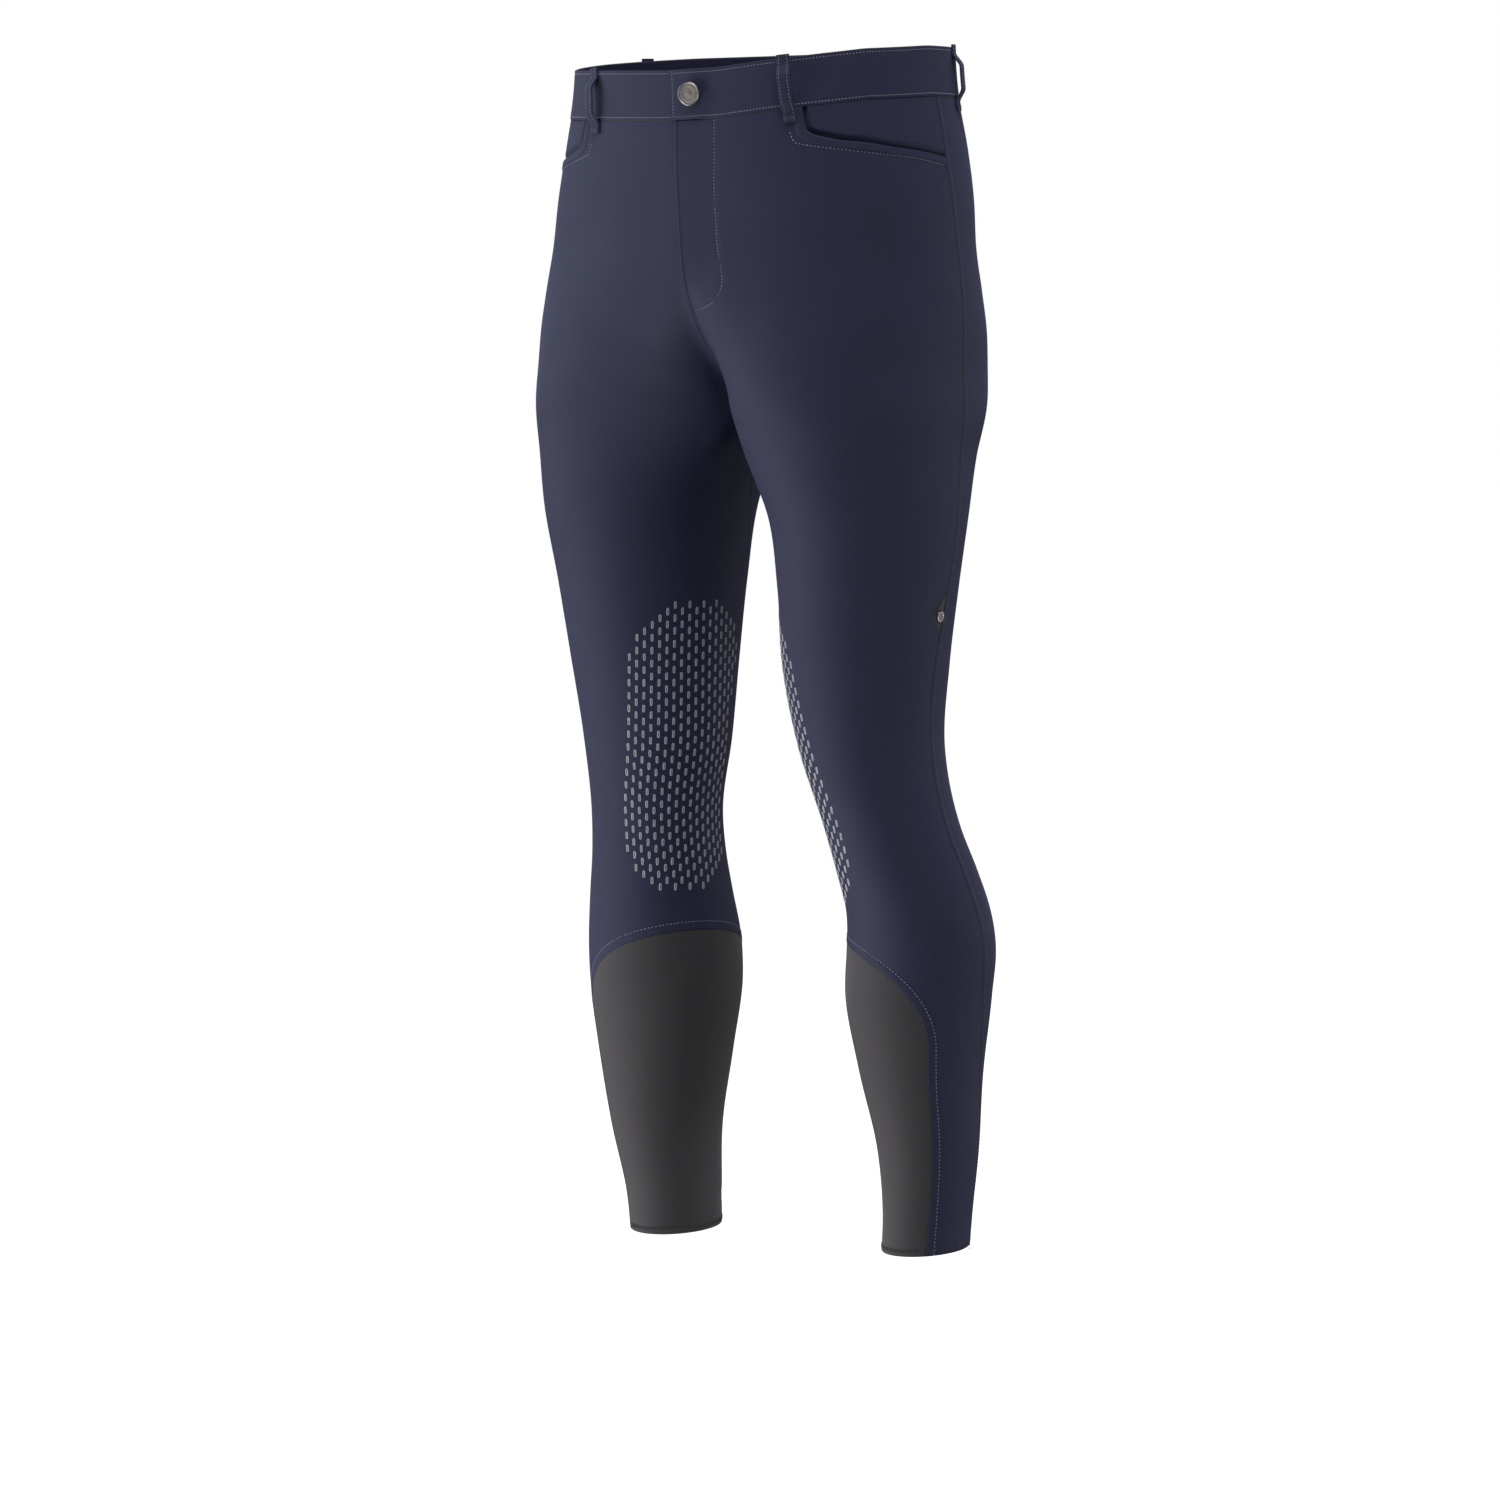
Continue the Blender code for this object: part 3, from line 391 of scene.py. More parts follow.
@dataclass(frozen=True)
class Seams:
    """The seam lines of one half, each a path of (angle, height) rows."""

    form: LegForm

    @staticmethod
    def from_table(table: Array, z: Array) -> Array:
        """A (height, degrees) table's line at these heights."""
        return np.stack((np.radians(np.interp(-z / MM, -table[:, 0], table[:, 1])), z), -1)

    @staticmethod
    def hem_height(angle: Array | float, above: float = 0.0) -> Array:
        """The hem's height: lowest at the front and a little higher at the back."""
        return HEM_FRONT + above + HEM_BACK_RISE * (1 - np.cos(angle))

    def waist(self, start: float, end: float) -> Array:
        """The waist seam between two angles in degrees."""
        angle = np.radians(np.linspace(start, end, 60))
        return np.stack((angle, self.form.waist(angle)), 1)

    def hem(self, start: float, end: float, above: float = 0.0) -> Array:
        """The hem, or a line above it, between two angles in degrees."""
        angle = np.radians(np.linspace(start, end, 40))
        return np.stack((angle, self.hem_height(angle, above)), 1)

    def outseam(self, top: float, foot: float, count: int = 80) -> Array:
        """The side seam between two heights."""
        return self.from_table(OUTSEAM, np.linspace(top, foot, count))

    def inseam(self) -> Array:
        """The inner leg seam from the crotch to the calf panel."""
        return self.from_table(INSEAM, np.linspace(CROTCH, self.arch_height(INSEAM[-1, 1]), 80))

    @staticmethod
    def arch_height(turn: Array | float) -> Array:
        """The calf panel's upper edge: a half ellipse over the inner side of the calf."""
        share = np.clip((np.asarray(turn, float) - ARCH_ANGLE) / ARCH_SPAN, -1, 1)
        return ARCH_TOP - ARCH_DROP * (1 - np.sqrt(1 - share**2))

    def arch(self, start: float, end: float) -> Array:
        """The arch between two angles in degrees, its points crowding at its feet."""
        first, last = (math.asin(np.clip((a - ARCH_ANGLE) / ARCH_SPAN, -1, 1)) for a in (start, end))
        turn = ARCH_ANGLE + ARCH_SPAN * np.sin(np.linspace(first, last, 60))
        return np.stack((np.radians(turn), self.arch_height(turn)), 1)

    def calf_seam(self, front: bool, above: float = 0.0) -> Array:
        """The calf panel's straight side from the arch's foot to the hem, or just above it."""
        start = math.radians(ARCH_ANGLE + (ARCH_SPAN if front else -ARCH_SPAN))
        end = math.radians(CALF_FRONT_HEM if front else CALF_BACK_HEM)
        return np.linspace((start, ARCH_TOP - ARCH_DROP), (end, float(self.hem_height(end, above))), 20)

    def rise(self, top: float, foot: float = CROTCH, back: bool = False) -> Array:
        """The centre seam; it turns under between the legs to meet the crotch."""
        z = foot + (top - foot) * np.linspace(1, 0, 90) ** 2
        angle = self.form.angle_at(0.0, z, back)
        if foot == CROTCH:
            angle[-1] = math.radians(270 if back else -90)
        return np.stack((angle, z), 1)

    def underlap_edge(self, top: float) -> Array:
        """The right front's edge under the fly: straight down, then slanting in to the seam."""
        z = np.linspace(top, UNDERLAP_POINT, 50)
        x = -UNDERLAP * (1 - np.clip((z - UNDERLAP_FOOT) / (UNDERLAP_POINT - UNDERLAP_FOOT), 0, 1))
        return np.stack((self.form.angle_at(x, z), z), 1)

    def front_edge(self) -> Array:
        """The whole front edge from the waist seam to the crotch."""
        top = float(self.form.waist(0.0))
        if self.form.side == Side.LEFT:
            return self.rise(top)
        return np.concatenate((self.underlap_edge(top)[:-1], self.rise(UNDERLAP_POINT)))

    def drawn(self, turn: Array) -> Array:
        """Degrees of the pocket mouth on this side: its corner may lie further forward."""
        last = POCKET_MOUTH[-1, 0]
        share = np.clip((last - turn) / (last - POCKET_MOUTH[0, 0]), 0, 1.2)
        return turn - POCKET_DRAWN[self.form.side] * share

    @staticmethod
    def pocket_drops(start: float = 0.0) -> Array:
        """Drops below the waist seam, in mm, at which the pocket mouth has points."""
        drop = np.unique(np.concatenate((POCKET_MOUTH[:, 1], np.linspace(start, POCKET_MOUTH[-1, 1], 40))))
        return drop[drop >= start]

    def pocket(self, start: float = 0.0, extra: float = 0.0) -> Array:
        """The pocket mouth's edge from a drop below the waist seam on, or a line under it."""
        drop = self.pocket_drops(start)
        turn = np.interp(drop, POCKET_MOUTH[:, 1], POCKET_MOUTH[:, 0])
        angle = np.radians(self.drawn(turn)) - extra / (127 * MM) * np.clip((50 - turn) / 10, 0, 1)
        angle[-1] = self.outseam(0, 0, 1)[0, 0]
        z = self.form.waist(angle) - drop * MM - extra * np.minimum(drop / 20, 1)
        return np.stack((angle, z), 1)

    def pocket_end(self) -> float:
        """The height where the pocket mouth meets the side seam."""
        return float(self.pocket()[-1, 1])

    def split(self, z: Array, corner: Array, foot: Array) -> Array:
        """The line inside the front, from the pocket's corner to the arch's shoulder."""
        share = fade(z, corner[1], foot[1])
        return np.stack((corner[0] + (foot[0] - corner[0]) * share, z), 1)

    def outer_edge(self, z: Array) -> Array:
        """The front's outer edge: the side seam, notched for the gusset on the left."""
        edge = self.from_table(OUTSEAM, z)
        if self.form.side == Side.LEFT:
            ends = self.from_table(OUTSEAM, np.array((GUSSET_TOP, GUSSET_FOOT)))
            levels = -np.array((GUSSET_TOP, GUSSET_APEX[1], GUSSET_FOOT))
            notch = np.interp(-z, levels, (ends[0, 0], math.radians(GUSSET_APEX[0]), ends[1, 0]))
            edge[:, 0] = np.where((z < GUSSET_TOP) & (z > GUSSET_FOOT), notch, edge[:, 0])
        return edge


# ---------------------------------------------------------------- grids and walls
def marks_between(length: float, step: float, start: Array = FINE, end: Array = FINE) -> Array:
    """Shares 0 to 1 of a length: close marks at its ends and even ones between.

    Args:
        length: the whole length in metres.
        step: the spacing of the middle marks.
        start: distances of the close marks from the start.
        end: distances of the close marks from the end.

    Returns:
        Rising shares from 0 to 1.
    """
    shrink = min(1.0, length / max(1.3 * (start[-1] + end[-1]), 1e-9))
    first, last = start * shrink, length - end[::-1] * shrink
    middle = np.linspace(first[-1], last[0], max(2, 1 + round((last[0] - first[-1]) / step)))[1:-1]
    return np.concatenate((first, middle, last)) / length


def column_shares(widths: Array, step: float, start: Array = FINE, end: Array = FINE) -> Array:
    """Column places for each row, close at both edges, with one count for all rows.

    Args:
        widths: each row's width in metres.
        step: spacing in the middle of the widest row.
        start: distances of the close columns from the first edge.
        end: distances of the close columns from the last edge.

    Returns:
        (rows, columns) shares from 0 to 1.
    """
    widths = np.maximum(widths, 1e-6)
    shrink = np.minimum(1.0, widths / max(1.3 * (start[-1] + end[-1]), 1e-9))[:, None] / widths[:, None]
    first, last = start * shrink, 1 - end[::-1] * shrink
    count = max(2, round((widths.max() - start[-1] - end[-1]) / step))
    share = np.linspace(0, 1, count + 1)[1:-1]
    middle = first[:, -1:] + (last[:, :1] - first[:, -1:]) * share
    return np.concatenate((first, middle, last), 1)


def triangles_of(rows: int, columns: int, flip: bool, shift: int = 0) -> Array:
    """Two triangles for each cell of a grid of points."""
    index = np.arange(rows * columns).reshape(rows, columns) + shift
    a, b, c, d = index[:-1, :-1], index[:-1, 1:], index[1:, 1:], index[1:, :-1]
    faces = np.concatenate((np.stack((a, b, c), -1).reshape(-1, 3), np.stack((a, c, d), -1).reshape(-1, 3)))
    return faces[:, ::-1] if flip else faces


@dataclass
class Grid:
    """A grid of (angle, height) places, with the fold rows of a hem below it."""

    places: Array  # (rows, columns, 2)
    fold: bool = False

    @classmethod
    def stretched(cls, form: LegForm, left: Array, right: Array, top: Array, bottom: Array, step: float,
                  columns: tuple[Array, Array] = (FINE, FINE), fold: bool = False) -> Grid:
        """A patch between four edges.

        Each row runs straight from the left to the right edge; the top and bottom
        edges' own bends are added in full at their rows, fading evenly to none at
        the other end.

        Args:
            form: the half it lies on.
            left: (rows, 2) places down the edge with the lower angles.
            right: (rows, 2) places down the other edge.
            top: path of the top edge, from left to right.
            bottom: path of the bottom edge, from left to right.
            step: spacing of the columns.
            columns: the close columns' distances at the two edges.
            fold: whether the cloth turns up inside at the bottom.

        Returns:
            The grid.
        """
        share = np.linspace(0, 1, 24)[None, :, None]
        straight = left[:, None] * (1 - share) + right[:, None] * share
        widths = np.linalg.norm(np.diff(form.skin(straight[..., 0], straight[..., 1]), axis=1), axis=2).sum(axis=1)
        s = column_shares(widths, step, *columns)
        middle = (left[:, 1] + right[:, 1]) / 2
        t = np.clip((middle[0] - middle) / (middle[0] - middle[-1]), 0, 1)[:, None, None]
        base = left[:, None] * (1 - s[..., None]) + right[:, None] * s[..., None]
        for path, weight in ((top, 1 - t), (bottom, t)):
            bend = form.at(path, s) - (path[0] * (1 - s[..., None]) + path[-1] * s[..., None])
            base = base + weight * bend
        return cls(base, fold)


FOLD_TURNS = np.radians((30, 60, 90, 120, 150, 180))
FOLD_RISES = MM * np.array((1.5, 3.2, 5.0, 6.6))


@dataclass
class Relief:
    """Heights of the cloth's face over the form: rolled edges, grooves, laps and folds."""

    form: LegForm
    rolled: list[tuple[Array, float]] = field(default_factory=list)  # paths and radii
    stitched: list[tuple[Array, float]] = field(default_factory=list)  # paths and depths in mm
    raised: list[tuple[Array, float, float]] = field(default_factory=list)  # path, width, height
    creases: list[tuple[tuple[tuple[float, float], ...], float, float]] = field(default_factory=list)
    lap: object = None

    def height(self, angle: Array, z: Array) -> Array:
        """The face's height off the form.

        An edge rolls down on a quarter circle. A stitched line presses a groove of a
        bell shape. A raised strip beside a seam has its allowance under it. A crease is
        a bell across its line, fading out at its two ends.
        """
        shape = np.shape(angle)
        angle, z = np.ravel(angle), np.ravel(z)
        points = self.form.skin(angle, z)
        height = np.zeros(len(z))
        for path, width, rise in self.raised:
            gap, _ = distance_to(points, self.form.skin(path[:, 0], path[:, 1]))
            height += rise * (1 - fade(gap, width - 0.8 * MM, width + 1.2 * MM))
        for path, deep in self.stitched:
            gap, _ = distance_to(points, self.form.skin(path[:, 0], path[:, 1]))
            height -= deep * MM * np.exp(-((gap / (0.9 * MM)) ** 2))
        for places, width, depth in self.creases:
            path = self.form.even([(math.radians(a), h * MM) for a, h in places], 6 * MM)
            line = self.form.skin(path[:, 0], path[:, 1])
            gap, along = distance_to(points, line)
            whole = np.linalg.norm(np.diff(line, axis=0), axis=1).sum()
            ends = fade(along, 0, whole * 0.35) * fade(whole - along, 0, whole * 0.35)
            height += depth * MM * np.exp(-((gap / (width * MM)) ** 2)) * ends
        height -= self.roll(points)
        if self.lap:
            height += self.lap(angle, z)
        return height.reshape(shape)

    def roll(self, points: Array) -> Array:
        """How far the edges' rolling takes each point down, r - sqrt(r^2 - (r - d)^2)."""
        down = np.zeros(len(points))
        for path, radius in self.rolled:
            gap, _ = distance_to(points, self.form.skin(path[:, 0], path[:, 1]))
            inside = np.clip(radius - gap, 0, radius)
            down = np.maximum(down, radius - np.sqrt(np.maximum(radius**2 - inside**2, 0)))
        return down


def mesh_object(name: str, points: Array, faces: Array, material: bpy.types.Material,
                uv: Array | None = None, slots: Array | None = None,
                more: tuple[bpy.types.Material, ...] = ()) -> bpy.types.Object:
    """An object from arrays of points and triangles.

    Args:
        name: the object's name.
        points: (n, 3) places in metres.
        faces: (m, 3) point numbers.
        material: what it is made of.
        uv: (n, 2) metres along the cloth, for its weave.
        slots: (m,) material slot numbers, where there are more materials.
        more: the further materials.

    Returns:
        The object, linked to the scene.
    """
    kept = (faces[:, 0] != faces[:, 1]) & (faces[:, 1] != faces[:, 2]) & (faces[:, 0] != faces[:, 2])
    faces = faces[kept]
    used, renumbered = np.unique(faces, return_inverse=True)
    faces = renumbered.reshape(faces.shape)
    mesh = bpy.data.meshes.new(name)
    mesh.from_pydata(swayed(points[used]).tolist(), [], faces.tolist())
    mesh.shade_smooth()
    for each in (material, *more):
        mesh.materials.append(each)
    if uv is not None:
        layer = mesh.uv_layers.new(name="cloth")
        layer.data.foreach_set("uv", uv[used][faces.ravel()].astype(np.float32).ravel())
    if slots is not None:
        mesh.polygons.foreach_set("material_index", slots[kept].astype(np.int32))
    thing = bpy.data.objects.new(name, mesh)
    bpy.context.scene.collection.objects.link(thing)
    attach(thing, "root")
    return thing


def shell(outer: Array, inner: Array, faces: Array) -> tuple[Array, Array, Array]:
    """A closed wall from two layers of points that share their triangles.

    Points that coincide in the outer layer are welded. Every edge used by one triangle
    only gets two side triangles down to the inner layer.

    Args:
        outer: (n, 3) outer face.
        inner: (n, 3) inner face.
        faces: (m, 3) triangles of the outer face.

    Returns:
        Points, faces, and the source point of each point.
    """
    _, first, welded = np.unique(np.round(outer, 7), axis=0, return_index=True, return_inverse=True)
    faces = welded.reshape(-1)[faces]
    faces = faces[(faces[:, 0] != faces[:, 1]) & (faces[:, 1] != faces[:, 2]) & (faces[:, 0] != faces[:, 2])]
    count = len(first)
    edges = np.concatenate((faces[:, [0, 1]], faces[:, [1, 2]], faces[:, [2, 0]]))
    key = np.sort(edges, axis=1)
    _, index, uses = np.unique(key, axis=0, return_index=True, return_counts=True)
    rim = edges[index[uses == 1]]
    sides = np.concatenate((
        np.stack((rim[:, 1], rim[:, 0], rim[:, 0] + count), 1),
        np.stack((rim[:, 1], rim[:, 0] + count, rim[:, 1] + count), 1),
    ))
    points = np.concatenate((outer[first], inner[first]))
    return points, np.concatenate((faces, faces[:, ::-1] + count, sides)), np.concatenate((first, first))


@dataclass
class ClothPanel:
    """One cut piece of cloth on the form: its grids, its relief and its finish."""

    node: str
    form: LegForm
    grids: list[Grid]
    relief: Relief
    finish: KnitFinish
    flat: tuple[float, float]
    area: float
    wall: float = WALL
    lift: float = 0.0
    free: bool = False  # both faces round to a fold at the edges
    held: Held = Held.STRETCHED

    def layers(self, grid: Grid) -> tuple[Array, Array, Array]:
        """Outer and inner points of a grid, and its metres along the cloth.

        The outer face is the form plus its height along the normal, the inner face the
        wall's thickness below the form. At a hem the cloth goes on round a half circle
        and up again inside.
        """
        form, angle, z = self.form, grid.places[..., 0], grid.places[..., 1]
        place, normal = form.skin(angle, z), form.normal(angle, z)
        height = self.relief.height(angle, z)
        flat_points = place.reshape(-1, 3)
        under = -self.wall + (self.relief.roll(flat_points).reshape(z.shape) if self.free else 0)
        if self.relief.lap:
            under = under + self.relief.lap(angle.ravel(), z.ravel()).reshape(z.shape)
        lift = self.lift(angle, z) if callable(self.lift) else self.lift
        outer = place + normal * (height + lift)[..., None]
        inner = place + normal * (np.broadcast_to(under, z.shape) + lift)[..., None]
        step = np.linalg.norm(np.diff(place, axis=1), axis=2)
        along = np.concatenate((np.zeros((len(place), 1)), np.cumsum(step, axis=1)), 1)
        uv = np.stack((along, z), -1)
        if grid.fold:
            outer, inner, uv = self.folded(grid, outer, inner, uv, height)
        return outer, inner, uv

    def folded(self, grid: Grid, outer: Array, inner: Array, uv: Array, height: Array) -> tuple[Array, Array, Array]:
        """The layers with the hem's fold added below their last row.

        Args:
            grid: the grid, whose last row is one fold radius above the hem.
            outer: outer points.
            inner: inner points.
            uv: metres along the cloth.
            height: the face's height at each point.

        Returns:
            The three arrays with more rows.
        """
        r, wall = HEM_ROUND, self.wall
        angle, z = grid.places[-1, :, 0], grid.places[-1, :, 1]
        turn = FOLD_TURNS[:, None]
        drop = np.concatenate((-r * np.sin(turn), FOLD_RISES[:, None]))
        out = np.concatenate((r * np.cos(turn) - r, np.full((len(FOLD_RISES), 1), -2 * r)))
        drop_in = np.concatenate((-(r - wall) * np.sin(turn), FOLD_RISES[:, None]))
        out_in = np.concatenate(((r - wall) * np.cos(turn) - r, np.full((len(FOLD_RISES), 1), wall - 2 * r)))
        fading = np.concatenate((np.clip(np.cos(turn), 0, 1), np.zeros((len(FOLD_RISES), 1))))
        base, normal = self.form.skin(angle, z)[None], self.form.normal(angle, z)[None]
        up = np.array((0, 0, 1.0))
        more = base + normal * (out + fading * height[-1])[..., None] + up * drop[..., None]
        more_in = base + normal * np.broadcast_to(out_in, out_in.shape[:1] + z.shape)[..., None] + up * drop_in[..., None]
        below = np.stack(np.broadcast_arrays(uv[-1, :, 0], z - np.abs(drop) - r * turn[:1]), -1)
        return (np.concatenate((outer, more)), np.concatenate((inner, more_in)), np.concatenate((uv, below)))

    def build(self) -> bpy.types.Object:
        """The panel's object: all grids in one closed wall."""
        outers, inners, uvs, faces, count = [], [], [], [], 0
        for grid in self.grids:
            outer, inner, uv = self.layers(grid)
            faces.append(triangles_of(*outer.shape[:2], self.form.side == Side.LEFT, count))
            count += outer.shape[0] * outer.shape[1]
            outers.append(outer.reshape(-1, 3))
            inners.append(inner.reshape(-1, 3))
            uvs.append(uv.reshape(-1, 2))
        outer, inner, uv = (np.concatenate(part) for part in (outers, inners, uvs))
        points, triangles, source = shell(outer, inner, np.concatenate(faces))
        thing = mesh_object(f"{self.node}_cloth", points, triangles, self.finish.material(), uv[source])
        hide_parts(self.node)
        log.info("%s: %d triangles", thing.name, len(triangles))
        return thing


# ---------------------------------------------------------------- finishes
class Shader:
    """A small helper that adds and joins the nodes of one material."""

    def __init__(self, name: str) -> None:
        """Start a material with a Principled shader and nothing else."""
        self.material = bpy.data.materials.new(name)
        self.material.use_nodes = True
        self.nodes = self.material.node_tree.nodes
        self.links = self.material.node_tree.links
        self.main = self.nodes["Principled BSDF"]

    def add(self, kind: str, inputs: dict[str | int, object] | None = None, **settings: object) -> bpy.types.Node:
        """A node with its settings, its sockets set or joined.

        Args:
            kind: the node's type name.
            inputs: values for its sockets, or the sockets that feed them.
            settings: the node's own properties.

        Returns:
            The node.
        """
        node = self.nodes.new(kind)
        for key, value in settings.items():
            setattr(node, key, value)
        for key, value in (inputs or {}).items():
            if isinstance(value, bpy.types.NodeSocket):
                self.links.new(value, node.inputs[key])
            else:
                node.inputs[key].default_value = value
        return node

    def maths(self, operation: str, *values: object) -> bpy.types.NodeSocket:
        """The result of one sum on sockets or numbers."""
        return self.add("ShaderNodeMath", dict(enumerate(values)), operation=operation).outputs[0]

    def noise(self, vector: object, scale: float, detail: float = 2.0, roughness: float = 0.5) -> bpy.types.NodeSocket:
        """Soft noise from 0 to 1 at this many waves a metre."""
        inputs = {"Vector": vector, "Scale": scale, "Detail": detail, "Roughness": roughness}
        return self.add("ShaderNodeTexNoise", inputs).outputs["Fac"]

    def span(self, value: object, low: float, high: float) -> bpy.types.NodeSocket:
        """A value from 0 to 1 laid out between two others."""
        inputs = {"Value": value, "To Min": low, "To Max": high}
        return self.add("ShaderNodeMapRange", inputs).outputs["Result"]

    def mixed(self, share: object, first: tuple[float, ...], second: tuple[float, ...]) -> bpy.types.NodeSocket:
        """A colour between two, by a share."""
        node = self.add("ShaderNodeMix", data_type="RGBA")
        self.links.new(share, node.inputs[0])
        node.inputs[6].default_value = (*first, 1)
        node.inputs[7].default_value = (*second, 1)
        return node.outputs[2]

    def set(self, **values: object) -> None:
        """Values or joins for the main shader's sockets, with _ for a space."""
        for key, value in values.items():
            socket = self.main.inputs[key.replace("_", " ")]
            if isinstance(value, bpy.types.NodeSocket):
                self.links.new(value, socket)
            else:
                socket.default_value = value

    def bump(self, height: object, strength: float, distance: float, before: object = None) -> bpy.types.NodeSocket:
        """A bumped normal from a height, over another bumped normal if one is given."""
        inputs = {"Height": height, "Strength": strength, "Distance": distance}
        if before is not None:
            inputs["Normal"] = before
        return self.add("ShaderNodeBump", inputs).outputs[0]


@dataclass(frozen=True)
class KnitFinish:
    """A dense stretch cloth: fine diagonal ribs, a soft sheen and a slight mottle."""

    name: str
    slot: str
    shade: tuple[float, float, float]
    light: tuple[float, float, float]
    rib: float = 0.62 * MM  # spacing of the ribs
    roughness: float = 0.62
    sheen: float = 0.2
    sheen_tint: tuple[float, float, float] = (0.55, 0.62, 1.0)
    bump: float = 0.35
    specular: float = 0.22

    def material(self) -> bpy.types.Material:
        """The material, made once.

        Two crossing bands at the ribs' spacing give the weave's height; noise over
        centimetres shifts the colour and noise at thread size breaks the ribs up.
        """
        found = bpy.data.materials.get(self.name)
        if found:
            return found
        s = Shader(self.name)
        cloth = s.add("ShaderNodeUVMap", uv_map="cloth").outputs[0]
        place = s.add("ShaderNodeTexCoord").outputs["Object"]
        waves = 1 / self.rib
        turned = s.add("ShaderNodeMapping", {"Vector": cloth, "Rotation": (0, 0, math.radians(24))}).outputs[0]
        parts = s.add("ShaderNodeSeparateXYZ", {"Vector": turned})
        rib = s.maths("SINE", s.maths("MULTIPLY", parts.outputs[0], 2 * math.pi * waves))
        weft = s.maths("SINE", s.maths("MULTIPLY", parts.outputs[1], 2 * math.pi * waves * 0.8))
        fuzz = s.noise(place, 2600, 2)
        weave = s.maths("ADD", s.maths("MULTIPLY", rib, 0.5), s.maths("MULTIPLY", weft, 0.28))
        weave = s.maths("ADD", weave, fuzz)
        broad = s.noise(place, 22, 3)
        fine = s.noise(place, 900, 2)
        mottle = s.maths("ADD", s.maths("MULTIPLY", broad, 0.55), s.maths("MULTIPLY", fine, 0.45))
        s.set(
            Base_Color=s.mixed(s.span(mottle, 0.0, 1.0), self.shade, self.light),
            Roughness=s.span(fine, self.roughness - 0.05, self.roughness + 0.07),
            Normal=s.bump(weave, self.bump, 0.12 * MM),
            Sheen_Weight=self.sheen,
            Sheen_Roughness=0.45,
            Sheen_Tint=(*self.sheen_tint, 1),
            Specular_IOR_Level=self.specular,
        )
        return s.material


@dataclass(frozen=True)
class ThreadFinish:
    """Sewing thread: fine plies round it and a low sheen."""

    name: str = "lilac_thread"
    slot: str = "navy_cloth"
    shade: tuple[float, float, float] = (0.24, 0.255, 0.34)
    light: tuple[float, float, float] = (0.42, 0.445, 0.55)

    def material(self) -> bpy.types.Material:
        """The material, made once; noise at ply size shifts its colour and height."""
        found = bpy.data.materials.get(self.name)
        if found:
            return found
        s = Shader(self.name)
        place = s.add("ShaderNodeTexCoord").outputs["Object"]
        ply = s.noise(place, 5200, 2)
        s.set(
            Base_Color=s.mixed(ply, self.shade, self.light),
            Roughness=s.span(ply, 0.45, 0.6),
            Normal=s.bump(ply, 0.4, 0.08 * MM),
            Sheen_Weight=0.2,
        )
        return s.material


@dataclass(frozen=True)
class SiliconeFinish:
    """Printed silicone, one grey stuff in two copies: a satin rim made lighter as painted highlight, or a glossy floor
    made darker as painted shade.
    """

    name: str
    shade: tuple[float, float, float]
    light: tuple[float, float, float]
    roughness: float
    slot: str = "navy_cloth"

    def material(self) -> bpy.types.Material:
        """The material, made once; noise at half a millimetre breaks up its gloss."""
        found = bpy.data.materials.get(self.name)
        if found:
            return found
        s = Shader(self.name)
        place = s.add("ShaderNodeTexCoord").outputs["Object"]
        grain = s.noise(place, 1400, 3)
        s.set(
            Base_Color=s.mixed(grain, self.shade, self.light),
            Roughness=s.span(grain, self.roughness - 0.08, self.roughness + 0.1),
            Normal=s.bump(grain, 0.15, 0.1 * MM),
            Coat_Weight=0.15,
            Coat_Roughness=0.3,
        )
        return s.material


@dataclass(frozen=True)
class MetalFinish:
    """Nickel-plated metal, polished on its edges and stippled where it is sunk."""

    name: str
    shade: tuple[float, float, float] = (0.40, 0.38, 0.36)
    light: tuple[float, float, float] = (0.66, 0.64, 0.61)
    roughness: float = 0.3
    stipple: float = 0.0
    slot: str = "silver_metal"

    def material(self) -> bpy.types.Material:
        """The material, made once; cell noise gives the stipple, soft noise the tarnish."""
        found = bpy.data.materials.get(self.name)
        if found:
            return found
        s = Shader(self.name)
        place = s.add("ShaderNodeTexCoord").outputs["Object"]
        tarnish = s.noise(place, 420, 4, 0.6)
        cells = s.add("ShaderNodeTexVoronoi", {"Vector": place, "Scale": 2400.0}).outputs["Distance"]
        s.set(
            Base_Color=s.mixed(tarnish, self.shade, self.light),
            Roughness=s.span(tarnish, self.roughness - 0.08, self.roughness + 0.14),
            Metallic=1.0,
            Normal=s.bump(cells, 0.1 + self.stipple, 0.2 * MM),
        )
        return s.material


NAVY = KnitFinish("navy_stretch_cloth", "navy_cloth", (0.035, 0.0365, 0.082), (0.043, 0.045, 0.098))
CHARCOAL = KnitFinish("charcoal_stretch_cloth", "charcoal_cloth", (0.060, 0.057, 0.061), (0.073, 0.069, 0.0745),
                      rib=0.8 * MM, roughness=0.68, sheen=0.5, sheen_tint=(0.9, 0.87, 0.9), bump=0.4)
THREAD = ThreadFinish()
DIM_THREAD = ThreadFinish("dim_thread", "navy_cloth", (0.075, 0.08, 0.13), (0.13, 0.137, 0.21))
NAVY_THREAD = ThreadFinish("navy_thread", "navy_cloth", (0.055, 0.058, 0.10), (0.10, 0.105, 0.165))
# Near-black tubes in the seams: painted shade of the seam grooves.
SEAM_SHADOW_THREAD = ThreadFinish("seam_shadow_thread", "navy_cloth", (0.006, 0.006, 0.012), (0.012, 0.012, 0.022))
CHARCOAL_THREAD = ThreadFinish("charcoal_thread", "charcoal_cloth", (0.05, 0.048, 0.052), (0.10, 0.098, 0.105))
# One grey silicone in two copies: the rim lighter as painted highlight, the floor darker as painted shade.
GRIP_RIM_PAINTED_HIGHLIGHT = SiliconeFinish("grip_rim_silicone_painted_highlight", (0.50, 0.51, 0.56), (0.68, 0.69, 0.74), 0.42)
